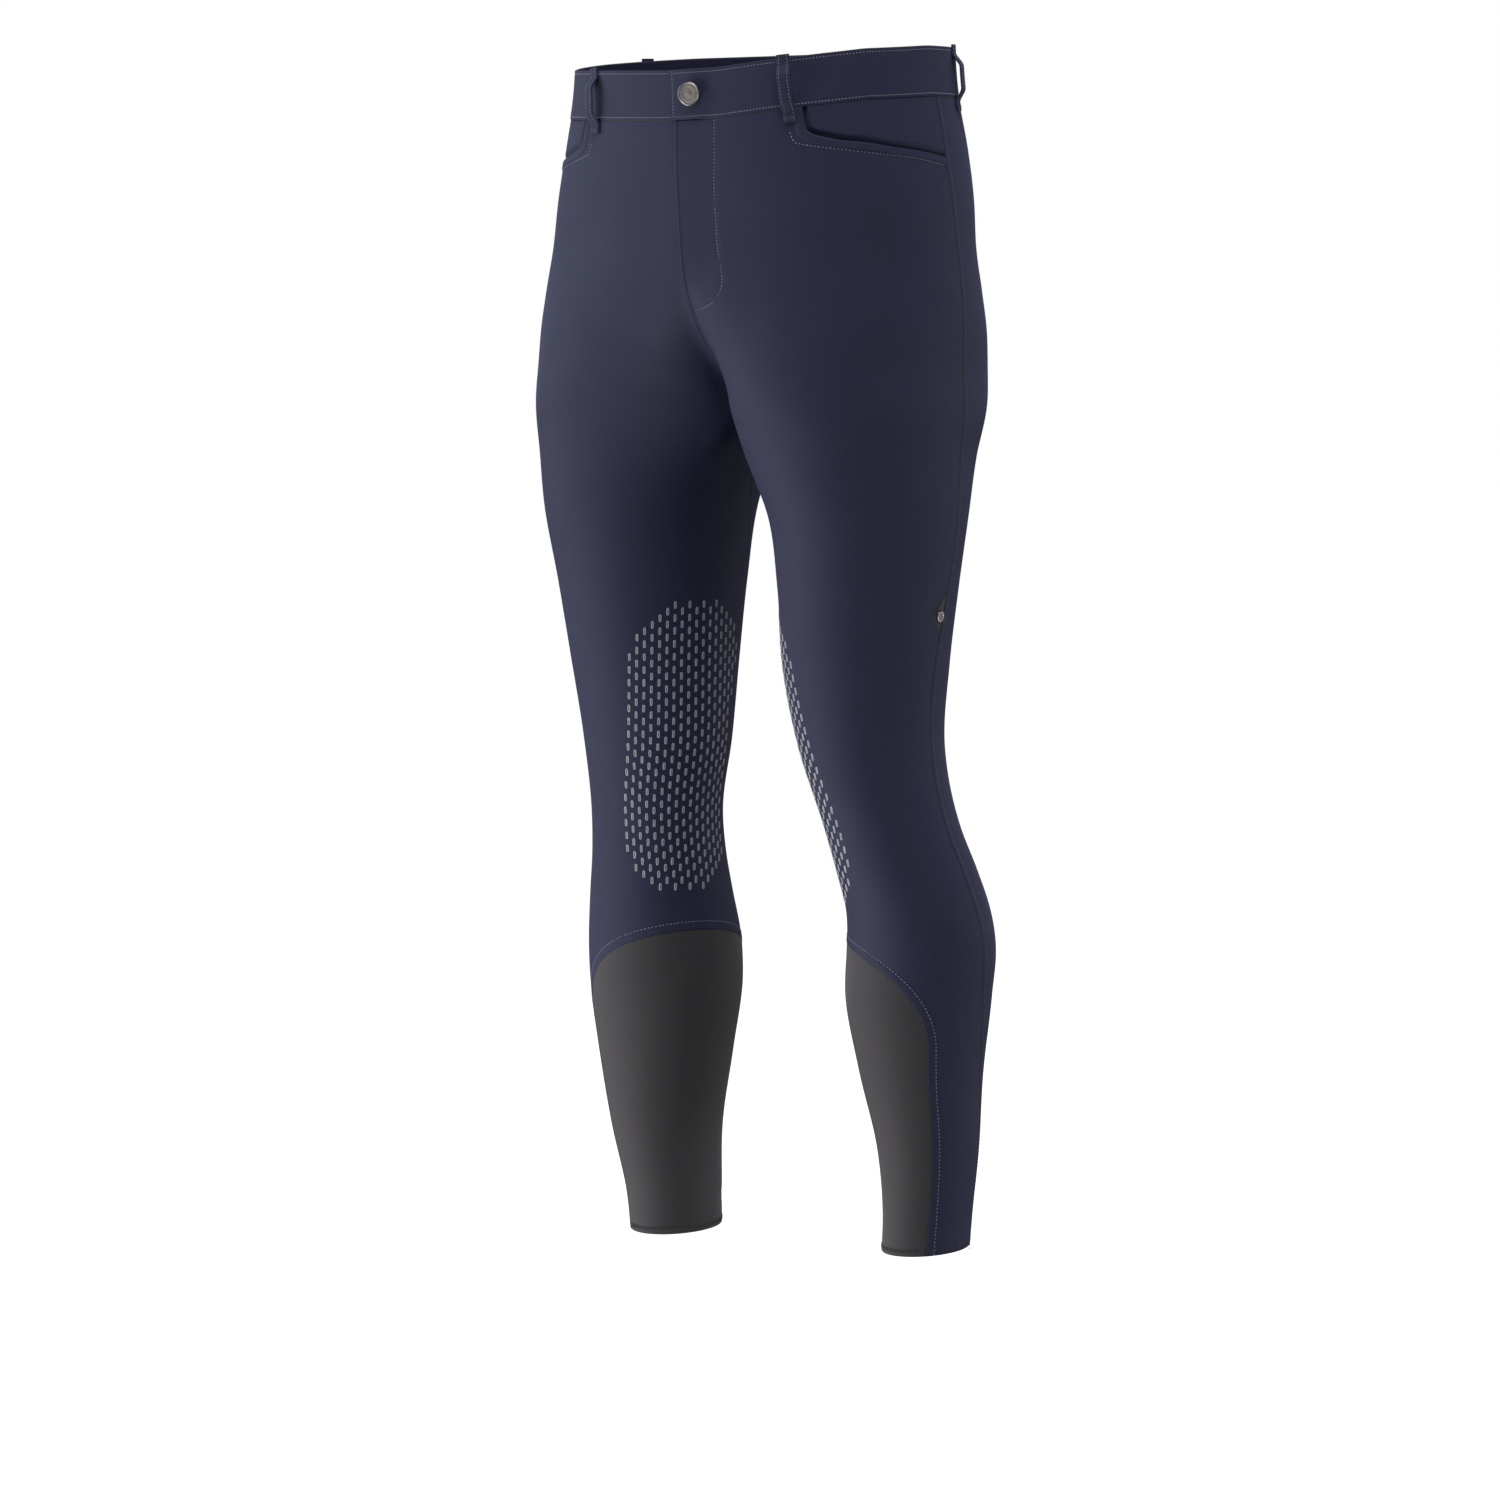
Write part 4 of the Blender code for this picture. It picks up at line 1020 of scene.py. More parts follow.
GRIP_FLOOR_PAINTED_SHADE = SiliconeFinish("grip_floor_silicone_painted_shade", (0.27, 0.275, 0.31), (0.38, 0.39, 0.43), 0.34)
BRIGHT_METAL = MetalFinish("bright_nickel")
SUNK_METAL = MetalFinish("stippled_nickel", (0.24, 0.22, 0.21), (0.42, 0.40, 0.38), 0.42, 0.9)


# ---------------------------------------------------------------- the panels
def fly_rise(form: LegForm):
    """The rise of the lapped left front: full at the edge, then falling evenly to its stitch.

    The slope is even down to a soft bend at the stitch line: with u the share of the
    width still to go, the rise is sqrt(u^2 + e^2) - e, so that it ends without a corner.
    """

    def rise(angle: Array, z: Array) -> Array:
        """Height off the form at each place."""
        u = np.clip(1 - form.centre_distance(angle, z) / FLY_WIDTH, 0, 1.1)
        slope = np.sqrt(u * u + FLY_BEND**2) - FLY_BEND
        return FLY_LAP * slope * fade(z, FLY_FADE, FLY_FOOT) * (np.abs(angle) < 1)

    return rise


def band_rise(form: LegForm):
    """The rise of the left band's end, which laps over the right one."""

    def rise(angle: Array, z: Array) -> Array:
        """Height off the form at each place."""
        width = 1 - fade(form.centre_distance(angle, z), BAND_LAP_FULL, BAND_LAP_END)
        return BAND_LAP * width * (np.abs(angle) < 1)

    return rise


@dataclass
class Half:
    """One half of the breeches: its panels, facing, band and the lines sewn on it."""

    side: Side
    step: float = 5.5 * MM
    front_flat: tuple[float, float] = (0.36, 0.93)
    front_area: float = 0.19
    back_flat: tuple[float, float] = (0.36, 0.95)
    back_area: float = 0.16
    calf_flat: tuple[float, float] = (0.22, 0.26)
    calf_area: float = 0.04
    facing_flat: tuple[float, float] = (0.135, 0.06)
    facing_area: float = 0.0062
    band_flat: tuple[float, float] = (0.45, 0.039)

    def __post_init__(self) -> None:
        """Set out the half's form, seams and sewing lines."""
        self.form = LegForm(self.side)
        self.seams = Seams(self.form)
        self.sewn: dict[str, list[tuple[Array, Relief, float]]] = {}
        self.closed: list[Array] = []  # the seams that get a near-black tube of painted shade
        self.shoulder_angle = ARCH_ANGLE + ARCH_SHOULDER * ARCH_SPAN
        self.hem_end = math.degrees(float(self.seams.outseam(HEM_FRONT, HEM_FRONT, 1)[0, 0]))

    def sew(self, name: str, path: Array, relief: Relief, pitch: float = 3.0 * MM) -> None:
        """Note a line to be stitched."""
        self.sewn.setdefault(name, []).append((path, relief, pitch))

    def creases(self) -> list:
        """The soft folds of this half: places in degrees and millimetres, width, depth in mm."""
        shared = [
            (((168, -224), (200, -236), (232, -243)), 13, -1.6),
            (((150, -556), (180, -561), (214, -552)), 8, -1.3),
            (((158, -582), (186, -586), (216, -579)), 7, -1.1),
            (((150, -604), (178, -610), (206, -606)), 9, 0.7),
            (((-30, -196), (-6, -182), (22, -170)), 14, -1.0),
            (((-58, -232), (-34, -226), (-8, -214)), 11, -0.8),
        ]
        if self.side == Side.LEFT:
            return shared + [(((60, -118), (76, -150), (88, -176)), 16, -0.9),
                             (((-24, -560), (4, -570), (34, -566)), 14, -0.7)]
        return shared + [(((-40, -566), (-12, -576), (18, -570)), 14, -0.8),
                         (((20, -96), (34, -126), (44, -150)), 20, -0.7)]

    def front(self) -> ClothPanel:
        """The front: two patches that share a line from the pocket's corner to the arch."""
        form, seams, left = self.form, self.seams, self.side == Side.LEFT
        pocket = seams.pocket()
        corner = seams.pocket(POCKET_CORNER)[0]
        mouth_top = float(pocket[0, 0])
        foot = seams.arch(self.shoulder_angle, self.shoulder_angle + 1)[0]
        side_edge = seams.pocket(POCKET_CORNER)
        flap = seams.pocket()[seams.pocket()[:, 1] >= corner[1] - 1e-9]
        edge = seams.front_edge()
        top_z = edge[0, 1]
        start_a = marks_between(top_z - corner[1], self.step, FINE, FREE) if left else \
            marks_between(abs(float(form.waist(mouth_top)) - corner[1]), self.step, FINE, FREE)
        # Rows of the upper group, then of the two shared ones.
        level_b = [corner[1], -0.262]
        shares_b = marks_between(level_b[0] - level_b[1], self.step, FINE, FREE)
        knots = (-0.262, GUSSET_TOP, GUSSET_APEX[1], GUSSET_FOOT, float(foot[1]))
        runs = [np.linspace(a, b, 1 + max(2, round((a - b) / self.step))) for a, b in zip(knots[:-2], knots[1:-1])]
        last = knots[-2] + (knots[-1] - knots[-2]) * marks_between(knots[-2] - knots[-1], self.step, FREE, FINE)
        z_lower = np.concatenate([run[:-1] for run in runs] + [last])
        z_upper = level_b[0] + (level_b[1] - level_b[0]) * shares_b
        z_shared = np.concatenate((z_upper[:-1], z_lower))
        split = seams.split(z_shared, corner, foot)
        # Inner patch.
        to_corner = edge[edge[:, 1] > corner[1]]
        cut = np.array((np.interp(-corner[1], -edge[:, 1], edge[:, 0]), corner[1]))
        upper_left = form.at(np.concatenate((to_corner, cut[None])), start_a)
        upper_right = form.at(flap, start_a)
        rest = np.concatenate((cut[None], edge[edge[:, 1] < corner[1]]))
        middle_left = form.at(rest, shares_b)
        inseam = seams.inseam()
        share_lower = (z_lower - z_lower[0]) / (z_lower[-1] - z_lower[0])
        lower_left = form.at(inseam, share_lower)
        left_edge = np.concatenate((upper_left[:-1], middle_left[:-1], lower_left))
        right_edge = np.concatenate((upper_right[:-1], split))
        top = seams.waist(math.degrees(edge[0, 0]), math.degrees(mouth_top))
        bottom = seams.arch(INSEAM[-1, 1], self.shoulder_angle)
        fly_marks = np.concatenate((FINE, MM * np.array((20, 27, 32, 33.8, 34.8, 35.6, 36.6, 38.6, 42)))) if left else FINE
        inner = Grid.stretched(form, left_edge, right_edge, top, bottom, self.step, (fly_marks, FINE))
        # Outer patch.
        outer_left_low = np.concatenate((seams.arch(self.shoulder_angle, ARCH_ANGLE + ARCH_SPAN)[:-1],
                                         seams.calf_seam(True, HEM_ROUND)))
        low_length = form.length(outer_left_low)
        share_c = marks_between(low_length, self.step, FREE, FINE[5:] - HEM_ROUND)
        share_c = np.concatenate((share_c[:-1][share_c[:-1] < 1 - 1e-6], (1.0,)))
        low_left = form.at(outer_left_low, share_c)
        hem_top = float(seams.hem_height(math.radians(self.hem_end), HEM_ROUND))
        z_low = foot[1] + (hem_top - foot[1]) * share_c
        end = seams.pocket_end()
        z_right = np.concatenate((end + (level_b[1] - end) * shares_b[:-1], z_lower[:-1], z_low))
        outer_left = np.concatenate((split[:-1], low_left))
        outer = Grid.stretched(form, outer_left, seams.outer_edge(z_right), side_edge,
                               seams.hem(CALF_FRONT_HEM, self.hem_end, HEM_ROUND), self.step, (FINE, FINE), True)
        # Relief.
        arch_line = form.even(seams.arch(INSEAM[-1, 1], ARCH_ANGLE + ARCH_SPAN))
        calf_line = form.even(seams.calf_seam(True))
        side_line = seams.outer_edge(np.linspace(end, HEM_FRONT, 420))
        waist_line = form.even(seams.waist(-6, math.degrees(mouth_top)))
        arch_seam = form.even(np.concatenate((arch_line[:-1], calf_line)), 2.5 * MM)
        pocket_line = form.even(pocket, 2 * MM)
        edge_line = form.even(edge, 2.5 * MM)
        arch_sewn = form.offset(arch_seam, -6.4 * MM)
        pocket_sewn = self.pocket_stitch()
        relief = Relief(form, [(arch_seam, SEAM_ROUND), (side_line, SIDE_ROUND), (waist_line, 1.1 * MM),
                               (form.even(inseam, 4 * MM), SEAM_ROUND), (edge_line, 1.5 * MM if left else 1.0 * MM),
                               (pocket_line, 1.1 * MM)],
                        [(arch_sewn, 0.32), (pocket_sewn, 0.4)],
                        [(arch_seam, 6.4 * MM, 0.35 * MM), (pocket_line, 6.0 * MM, 0.75 * MM)],
                        self.creases())
        self.sew("arch", arch_sewn, relief)
        self.sew("pocket", pocket_sewn, relief)
        # These seams get a near-black tube of painted shade.
        self.closed += [self.above_hem(form.even(side_line, 4 * MM)), self.above_hem(form.even(arch_seam, 3 * MM)),
                        waist_line]
        if left:
            relief.raised.append((edge_line, 2.4 * MM, 0.5 * MM))
            relief.lap = fly_rise(form)
            fly = self.fly_stitch()
            relief.stitched.append((fly, 0.55))
            self.sew("fly", fly, relief, 2.7 * MM)
        self.front_relief = relief
        return ClothPanel(f"front_{self.side.word}", form, [inner, outer], relief, NAVY, self.front_flat, self.front_area)

    def above_hem(self, path: Array) -> Array:
        """The part of a seam that lies above the turned hem."""
        return path[path[:, 1] > self.seams.hem_height(path[:, 0], HEM_ROUND + 1 * MM)]

    def pocket_stitch(self) -> Array:
        """The line 6 mm outside the pocket mouth, mitred at its corner."""
        form = self.form
        turn = np.array((35.4, 36.0, 36.8, 41, 49, 66, 80, 93.2))
        drop = np.array((17.5, 23.5, 27.0, 30.2, 35.0, 42.8, 47.2, 53.0))
        angle = np.radians(self.seams.drawn(turn))
        return form.even(np.stack((angle, form.waist(angle) - drop * MM), 1), 2 * MM)

    def fly_stitch(self) -> Array:
        """The fly's J: straight down beside the lap, then curving in to the seam."""
        z = np.linspace(float(self.form.waist(math.radians(14))) - 1 * MM, -102 * MM, 20)
        down = np.stack((np.full(20, math.radians(12.9)), z), 1)
        hook = np.array(((12.2, -118), (10.2, -134), (5.6, -148), (-2.2, -157.5), (-10, -161.5), (-17, -163.3), (-22.5, -164.2)))
        hook = np.stack((np.radians(hook[:, 0]), hook[:, 1] * MM), 1)
        return self.form.even(self.smooth(np.concatenate((down, hook))), 2 * MM)

    @staticmethod
    def smooth(path: Array, rounds: int = 3) -> Array:
        """A path with its corners cut at quarters, its ends kept."""
        for _ in range(rounds):
            cut = np.stack((path[:-1] * 0.75 + path[1:] * 0.25, path[:-1] * 0.25 + path[1:] * 0.75), 1)
            path = np.concatenate((path[:1], cut.reshape(-1, 2), path[-1:]))
        return path

    def back(self) -> ClothPanel:
        """The back: one patch from the side seam to the centre back and inner leg."""
        form, seams = self.form, self.seams
        waist_side = float(form.waist(math.radians(94)))
        knots = (waist_side, -0.262, float(seams.arch_height(INSEAM[-1, 1])), float(
            seams.hem_height(math.radians(self.hem_end), HEM_ROUND)))
        shares = (marks_between(0.26, self.step, FINE, FREE), marks_between(0.42, self.step, FREE, FREE),
                  marks_between(0.235, self.step, FREE, FINE[5:] - HEM_ROUND))
        shares = [np.concatenate((share[share < 1 - 1e-6], (1.0,))) for share in shares]
        turn = np.array((2 * math.pi, 0))
        centre = seams.rise(float(form.waist(math.pi)), back=True)
        low = np.concatenate((seams.arch(INSEAM[-1, 1], ARCH_ANGLE - ARCH_SPAN)[:-1],
                              seams.calf_seam(False, HEM_ROUND))) + turn
        rights = [form.at(path, share) for path, share in
                  zip((centre, seams.inseam() + turn, low), shares)]
        lefts = [seams.from_table(OUTSEAM, a + (b - a) * share)
                 for a, b, share in zip(knots[:-1], knots[1:], shares)]
        left_edge = np.concatenate((lefts[0][:-1], lefts[1][:-1], lefts[2]))
        right_edge = np.concatenate((rights[0][:-1], rights[1][:-1], rights[2]))
        grid = Grid.stretched(form, left_edge, right_edge, seams.waist(math.degrees(left_edge[0, 0]), 180),
                              seams.hem(self.hem_end, 360 + CALF_BACK_HEM, HEM_ROUND), self.step, (FINE, FINE), True)
        side_line = form.even(seams.outseam(waist_side, HEM_FRONT), 2.5 * MM)
        arch_seam = form.even(np.concatenate((seams.arch(INSEAM[-1, 1], ARCH_ANGLE - ARCH_SPAN)[:-1],
                                              seams.calf_seam(False))) + turn, 2.5 * MM)
        centre_line = form.even(centre, 3 * MM)
        inseam = form.even(seams.inseam() + turn, 4 * MM)
        side_sewn = form.offset(side_line, -5.6 * MM)
        arch_sewn = form.offset(arch_seam, 6.4 * MM)
        centre_sewn = form.offset(centre_line, 5.6 * MM)
        relief = Relief(form, [(side_line, SIDE_ROUND), (arch_seam, SEAM_ROUND), (centre_line, SEAM_ROUND),
                               (inseam, SEAM_ROUND), (form.even(seams.waist(92, 182)), SEAM_ROUND)],
                        [(side_sewn, 0.4), (arch_sewn, 0.32), (centre_sewn, 0.32)],
                        [(side_line, 5.6 * MM, 0.3 * MM), (arch_seam, 6.4 * MM, 0.35 * MM),
                         (centre_line, 5.6 * MM, 0.3 * MM)], self.creases())
        self.sew("side", side_sewn, relief)
        self.sew("arch", arch_sewn, relief)
        self.sew("seat", centre_sewn[: int(len(centre_sewn) * 0.9)], relief)
        self.back_relief = relief
        # These seams get a near-black tube of painted shade.
        self.closed += [form.even(seams.waist(94, 180)), form.even(centre_line, 4 * MM)]
        return ClothPanel(f"back_{self.side.word}", form, [grid], relief, NAVY, self.back_flat, self.back_area)

    def calf(self) -> ClothPanel:
        """The charcoal calf panel: an arch above, straight seams down to the hem."""
        form, seams = self.form, self.seams
        shoulder = ARCH_SHOULDER * ARCH_SPAN
        back_side = np.concatenate((seams.arch(ARCH_ANGLE - shoulder, ARCH_ANGLE - ARCH_SPAN)[:-1],
                                    seams.calf_seam(False, HEM_ROUND)))
        front_side = np.concatenate((seams.arch(ARCH_ANGLE + shoulder, ARCH_ANGLE + ARCH_SPAN)[:-1],
                                     seams.calf_seam(True, HEM_ROUND)))
        share = marks_between(0.235, self.step, FINE, FINE[5:] - HEM_ROUND)
        share = np.concatenate((share[share < 1 - 1e-6], (1.0,)))
        grid = Grid.stretched(form, form.at(back_side, share), form.at(front_side, share),
                              seams.arch(ARCH_ANGLE - shoulder, ARCH_ANGLE + shoulder),
                              seams.hem(CALF_BACK_HEM, CALF_FRONT_HEM, HEM_ROUND), self.step, (FINE, FINE), True)
        outline = np.concatenate((seams.calf_seam(False)[::-1][:-1],
                                  seams.arch(ARCH_ANGLE - ARCH_SPAN, ARCH_ANGLE + ARCH_SPAN)[:-1],
                                  seams.calf_seam(True)))
        relief = Relief(form, [(form.even(outline, 2.5 * MM), SEAM_ROUND)], [], [],
                        [(((-168, -880), (-120, -872), (-70, -876)), 7, -0.5)])
        self.calf_relief = relief
        return ClothPanel(f"calf_panel_{self.side.word}", form, [grid], relief, CHARCOAL, self.calf_flat, self.calf_area)

    def facing(self) -> ClothPanel:
        """The hip piece seen above the pocket mouth, dipping behind it."""
        form, seams, extra = self.form, self.seams, 10 * MM
        under = seams.pocket(0.0, extra)
        corner = int(np.searchsorted(seams.pocket_drops(), 21.0))
        short, long = under[:corner + 1], under[corner:]
        count = 36
        top_angle = math.degrees(under[0, 0])
        waist_side = float(form.waist(math.radians(94)))
        left_edge = form.at(short, np.linspace(0, 1, count))
        right_edge = seams.outseam(waist_side, float(long[-1, 1]), count)
        top = seams.waist(top_angle, math.degrees(right_edge[0, 0]))
        top[:, 1] += 3 * MM * (1 - fade(np.degrees(top[:, 0]), top_angle + 6, top_angle + 8.5))  # tucked in the band
        left_edge[:, 1] += 3 * MM * np.linspace(1, 0, count) ** 3
        grid = Grid.stretched(form, left_edge, right_edge, top,
                              long, 2.6 * MM)
        mouth = form.even(seams.pocket(), 2 * MM)
        mouth_points = form.skin(mouth[:, 0], mouth[:, 1])
        mouth_z = np.interp(np.degrees(grid.places[..., 0]), np.degrees(mouth[:, 0]), mouth[:, 1])

        def sunk(angle: Array, z: Array) -> Array:
            """Deep behind the front panel, rising above the mouth to meet the band."""
            gap, _ = distance_to(form.skin(angle, z).reshape(-1, 3), mouth_points)
            above = fade(gap.reshape(z.shape), 0.3 * MM, 5.5 * MM) * (z > mouth_z)
            return -3.4 * MM + 3.1 * MM * above

        return ClothPanel(f"pocket_facing_{self.side.word}", form, [grid], Relief(form), NAVY, self.facing_flat,
                          self.facing_area, 1.1 * MM, sunk)

    def band(self) -> ClothPanel:
        """The waistband half: doubled cloth with rounded folds at its edges."""
        form, left = self.form, self.side == Side.LEFT
        start = float(form.angle_at(-BAND_END if left else -UNDERLAP, np.array(0.0)))
        path = form.even(self.seams.waist(math.degrees(start), 180), count=110)
        rows = marks_between(BAND_HEIGHT, 5 * MM, FINE[:9], FINE[:9])
        edges = []
        for end in (0, -1):
            z = path[end, 1] + BAND_HEIGHT * (1 - rows)
            edges.append(np.stack((np.full(len(z), path[end, 0]), z), 1))
        raise_by = np.array((0, BAND_HEIGHT))
        grid = Grid.stretched(form, *edges, path + raise_by, path, 4.5 * MM)
        top, end = path + raise_by, form.even(edges[0], 2 * MM)
        back = form.even(edges[1], 2 * MM)
        radius = 1.1 * MM
        top_sewn = path[1:-1] + (0, BAND_HEIGHT - 2.8 * MM)
        low_sewn = path[1:-1] + (0, 2.2 * MM)
        sewn = [(top_sewn, 0.32), (low_sewn, 0.32)]
        relief = Relief(form, [(path, radius), (top, radius), (end, radius), (back, radius)], sewn)
        if left:
            relief.lap = band_rise(form)
            end_sewn = form.offset(form.even(edges[0][2:-2], 2 * MM), -2.6 * MM)
            relief.stitched.append((end_sewn, 0.32))
            self.sew("band", end_sewn, relief, 2.6 * MM)
        self.sew("band", top_sewn, relief, 2.6 * MM)
        self.sew("band", low_sewn, relief, 2.6 * MM)
        self.band_relief = relief
        return ClothPanel(f"waistband_{self.side.word}", form, [grid], relief, NAVY, self.band_flat,
                          self.band_flat[0] * self.band_flat[1], 2.2 * MM, BAND_PROUD, True, Held.FOLDED)

    def build(self) -> None:
        """Build and dress every panel of the half."""
        for panel in (self.front(), self.back(), self.calf(), self.facing(), self.band()):
            panel.build()


# ---------------------------------------------------------------- sewing
@dataclass(frozen=True)
class Stitching:
    """Rows of single stitches: short threads that dive into the cloth at both ends."""

    name: str
    finish: ThreadFinish
    width: float = 0.72 * MM
    share: float = 0.52  # of the pitch that shows

    def template(self) -> tuple[Array, Array]:
        """A stitch of unit length: rings of five points, thin and sunk at both ends.

        Returns:
            (n, 3) points along X, across Y and up Z, and (m, 3) faces.
        """
        along = np.array((-0.5, -0.32, 0.32, 0.5))
        girth = np.array((0.45, 1, 1, 0.45))
        lift = np.array((-0.55, 0.25, 0.25, -0.55))
        turn = np.linspace(0, 2 * math.pi, 5, endpoint=False)
        rings = np.stack(np.broadcast_arrays(along[:, None], girth[:, None] * np.cos(turn) / 2,
                                             (girth[:, None] * np.sin(turn) + lift[:, None]) / 2), -1)
        index = np.arange(20).reshape(4, 5)
        after = np.roll(index, -1, 1)
        walls = np.concatenate([np.stack(part, -1).reshape(-1, 3) for part in (
            (index[:-1], index[1:], after[1:]), (index[:-1], after[1:], after[:-1]))])
        caps = np.array(((0, 1, 2), (0, 2, 3), (0, 3, 4), (15, 17, 16), (15, 18, 17), (15, 19, 18)))
        return rings.reshape(-1, 3), np.concatenate((walls, caps))

    def build(self, rows: list[tuple[Array, Array, float]]) -> bpy.types.Object:
        """All the stitches of these rows, as one object.

        Args:
            rows: for each row its (n, 3) points, their (n, 3) normals and its pitch.

        Returns:
            The object.
        """
        template, faces = self.template()
        points, count = [], 0
        for line, normals, pitch in rows:
            length = np.concatenate(((0,), np.cumsum(np.linalg.norm(np.diff(line, axis=0), axis=1))))
            marks = np.arange(pitch / 2, length[-1] - pitch / 4, pitch)
            centre, normal = (np.stack([np.interp(marks, length, v[:, i]) for i in range(3)], 1) for v in (line, normals))
            ahead = np.stack([np.interp(marks + pitch / 4, length, line[:, i]) for i in range(3)], 1)
            along = unit(ahead - centre)
            up = unit(normal - along * np.sum(normal * along, axis=1, keepdims=True))
            across = np.cross(up, along)
            scale = np.array((pitch * self.share, self.width, self.width))
            local = template * scale
            points.append(centre[:, None] + local[:, :1] * along[:, None] + local[:, 1:2] * across[:, None]
                          + local[:, 2:] * up[:, None])
            count += len(marks)
        points = np.concatenate(points).reshape(-1, 3)
        shift = (np.arange(count) * len(template))[:, None, None]
        thing = mesh_object(self.name, points, (faces[None] + shift).reshape(-1, 3), self.finish.material())
        log.info("%s: %d stitches, %d triangles", self.name, count, count * len(faces))
        return thing


def sewing_row(form: LegForm, path: Array, relief: Relief, pitch: float, lift: float) -> tuple[Array, Array, float]:
    """A sewing line's points on the cloth's face, their normals and its pitch."""
    path = form.even(path, 1.5 * MM)
    height = relief.height(path[:, 0], path[:, 1]) + lift
    return form.place(path, height), form.normal(path[:, 0], path[:, 1]), pitch


@dataclass(frozen=True)
class SeamShadowTube:
    """A near-black tube lying low between the rolled edges of two panels: painted shade of the seam's groove."""

    name: str
    finish: ThreadFinish
    radius: float = 0.5 * MM
    depth: float = 0.35 * MM

    def build(self, lines: list[tuple[LegForm, Array]]) -> bpy.types.Object:
        """Lay one five-sided tube of painted seam shade along each line.

        Args:
            lines: each line's half and its (n, 2) angles and heights.

        Returns:
            The object.
        """
        turn = np.linspace(0, 2 * math.pi, 5, endpoint=False)
        points, faces, start = [], [], 0
        for form, path in lines:
            centre = form.place(path, -self.depth)
            normal = form.normal(path[:, 0], path[:, 1])
            across = unit(np.cross(normal, np.gradient(centre, axis=0)))
            rings = centre[:, None] + self.radius * (np.cos(turn)[None, :, None] * across[:, None]
                                                     + np.sin(turn)[None, :, None] * normal[:, None])
            index = np.arange(len(path) * 5).reshape(-1, 5) + start
            after = np.roll(index, -1, 1)
            walls = np.stack((index[:-1], index[1:], after[1:], after[:-1]), -1).reshape(-1, 4)
            ends = np.array(((0, 1, 2, 2), (0, 2, 3, 3), (0, 3, 4, 4)))
            caps = np.concatenate((index[0][ends], index[-1][ends[:, ::-1]]))
            points.append(rings.reshape(-1, 3))
            faces += [np.stack((walls[:, 0], walls[:, 1], walls[:, 2]), 1), np.stack((walls[:, 0], walls[:, 2], walls[:, 3]), 1),
                      caps[:3, (0, 1, 2)], caps[3:, (0, 2, 3)]]
            start += len(path) * 5
        thing = mesh_object(self.name, np.concatenate(points), np.concatenate(faces), self.finish.material())
        log.info("%s: %d lines", self.name, len(lines))
        return thing


@dataclass
class Topstitching:
    """Every sewn line of the garment, one object for each kind of line."""

    halves: tuple[Half, Half]

    def build(self) -> None:
        """Sew the lines that the halves noted, then the hems."""
        for name in ("band", "fly", "pocket", "side", "arch", "seat"):
            rows = []
            for half in self.halves:
                for path, relief, pitch in half.sewn.get(name, ()):
                    lift = 0.1 * MM + (BAND_PROUD if name == "band" else 0)
                    rows.append(sewing_row(half.form, path, relief, pitch, lift))
            Stitching(f"stitches_{name}", DIM_THREAD if name in ("side", "seat") else THREAD).build(rows)
        # Near-black tubes in the noted seams: painted shade of their grooves.
        SeamShadowTube("seam_shadow_tubes", SEAM_SHADOW_THREAD).build([(half.form, path) for half in self.halves for path in half.closed])
        self.hems()

    def hems(self) -> None:
        """Close upright stitches round each hem, navy on the navy cloth, grey on the calf panel."""
        for name, finish, spans in (("hem_navy", NAVY_THREAD, ((CALF_FRONT_HEM + 1.5, 360 + CALF_BACK_HEM - 1.5),)),
                                    ("hem_charcoal", CHARCOAL_THREAD, ((CALF_BACK_HEM + 1.5, CALF_FRONT_HEM - 1.5),))):
            rows = []
            for half in self.halves:
                for start, end in spans:
                    middle = half.form.even(half.seams.hem(start, end, 4.6 * MM), 1.35 * MM)
                    low, high = (half.form.place(middle + (0, h), 0.1 * MM) for h in (-1.9 * MM, 1.9 * MM))
                    normals = half.form.normal(middle[:, 0], middle[:, 1])
                    rows += [(np.stack((a, b)), np.stack((n, n)), 3.8 * MM) for a, b, n in zip(low, high, normals)]
            Stitching(f"stitches_{name}", finish, 0.5 * MM, 0.95).build(rows)


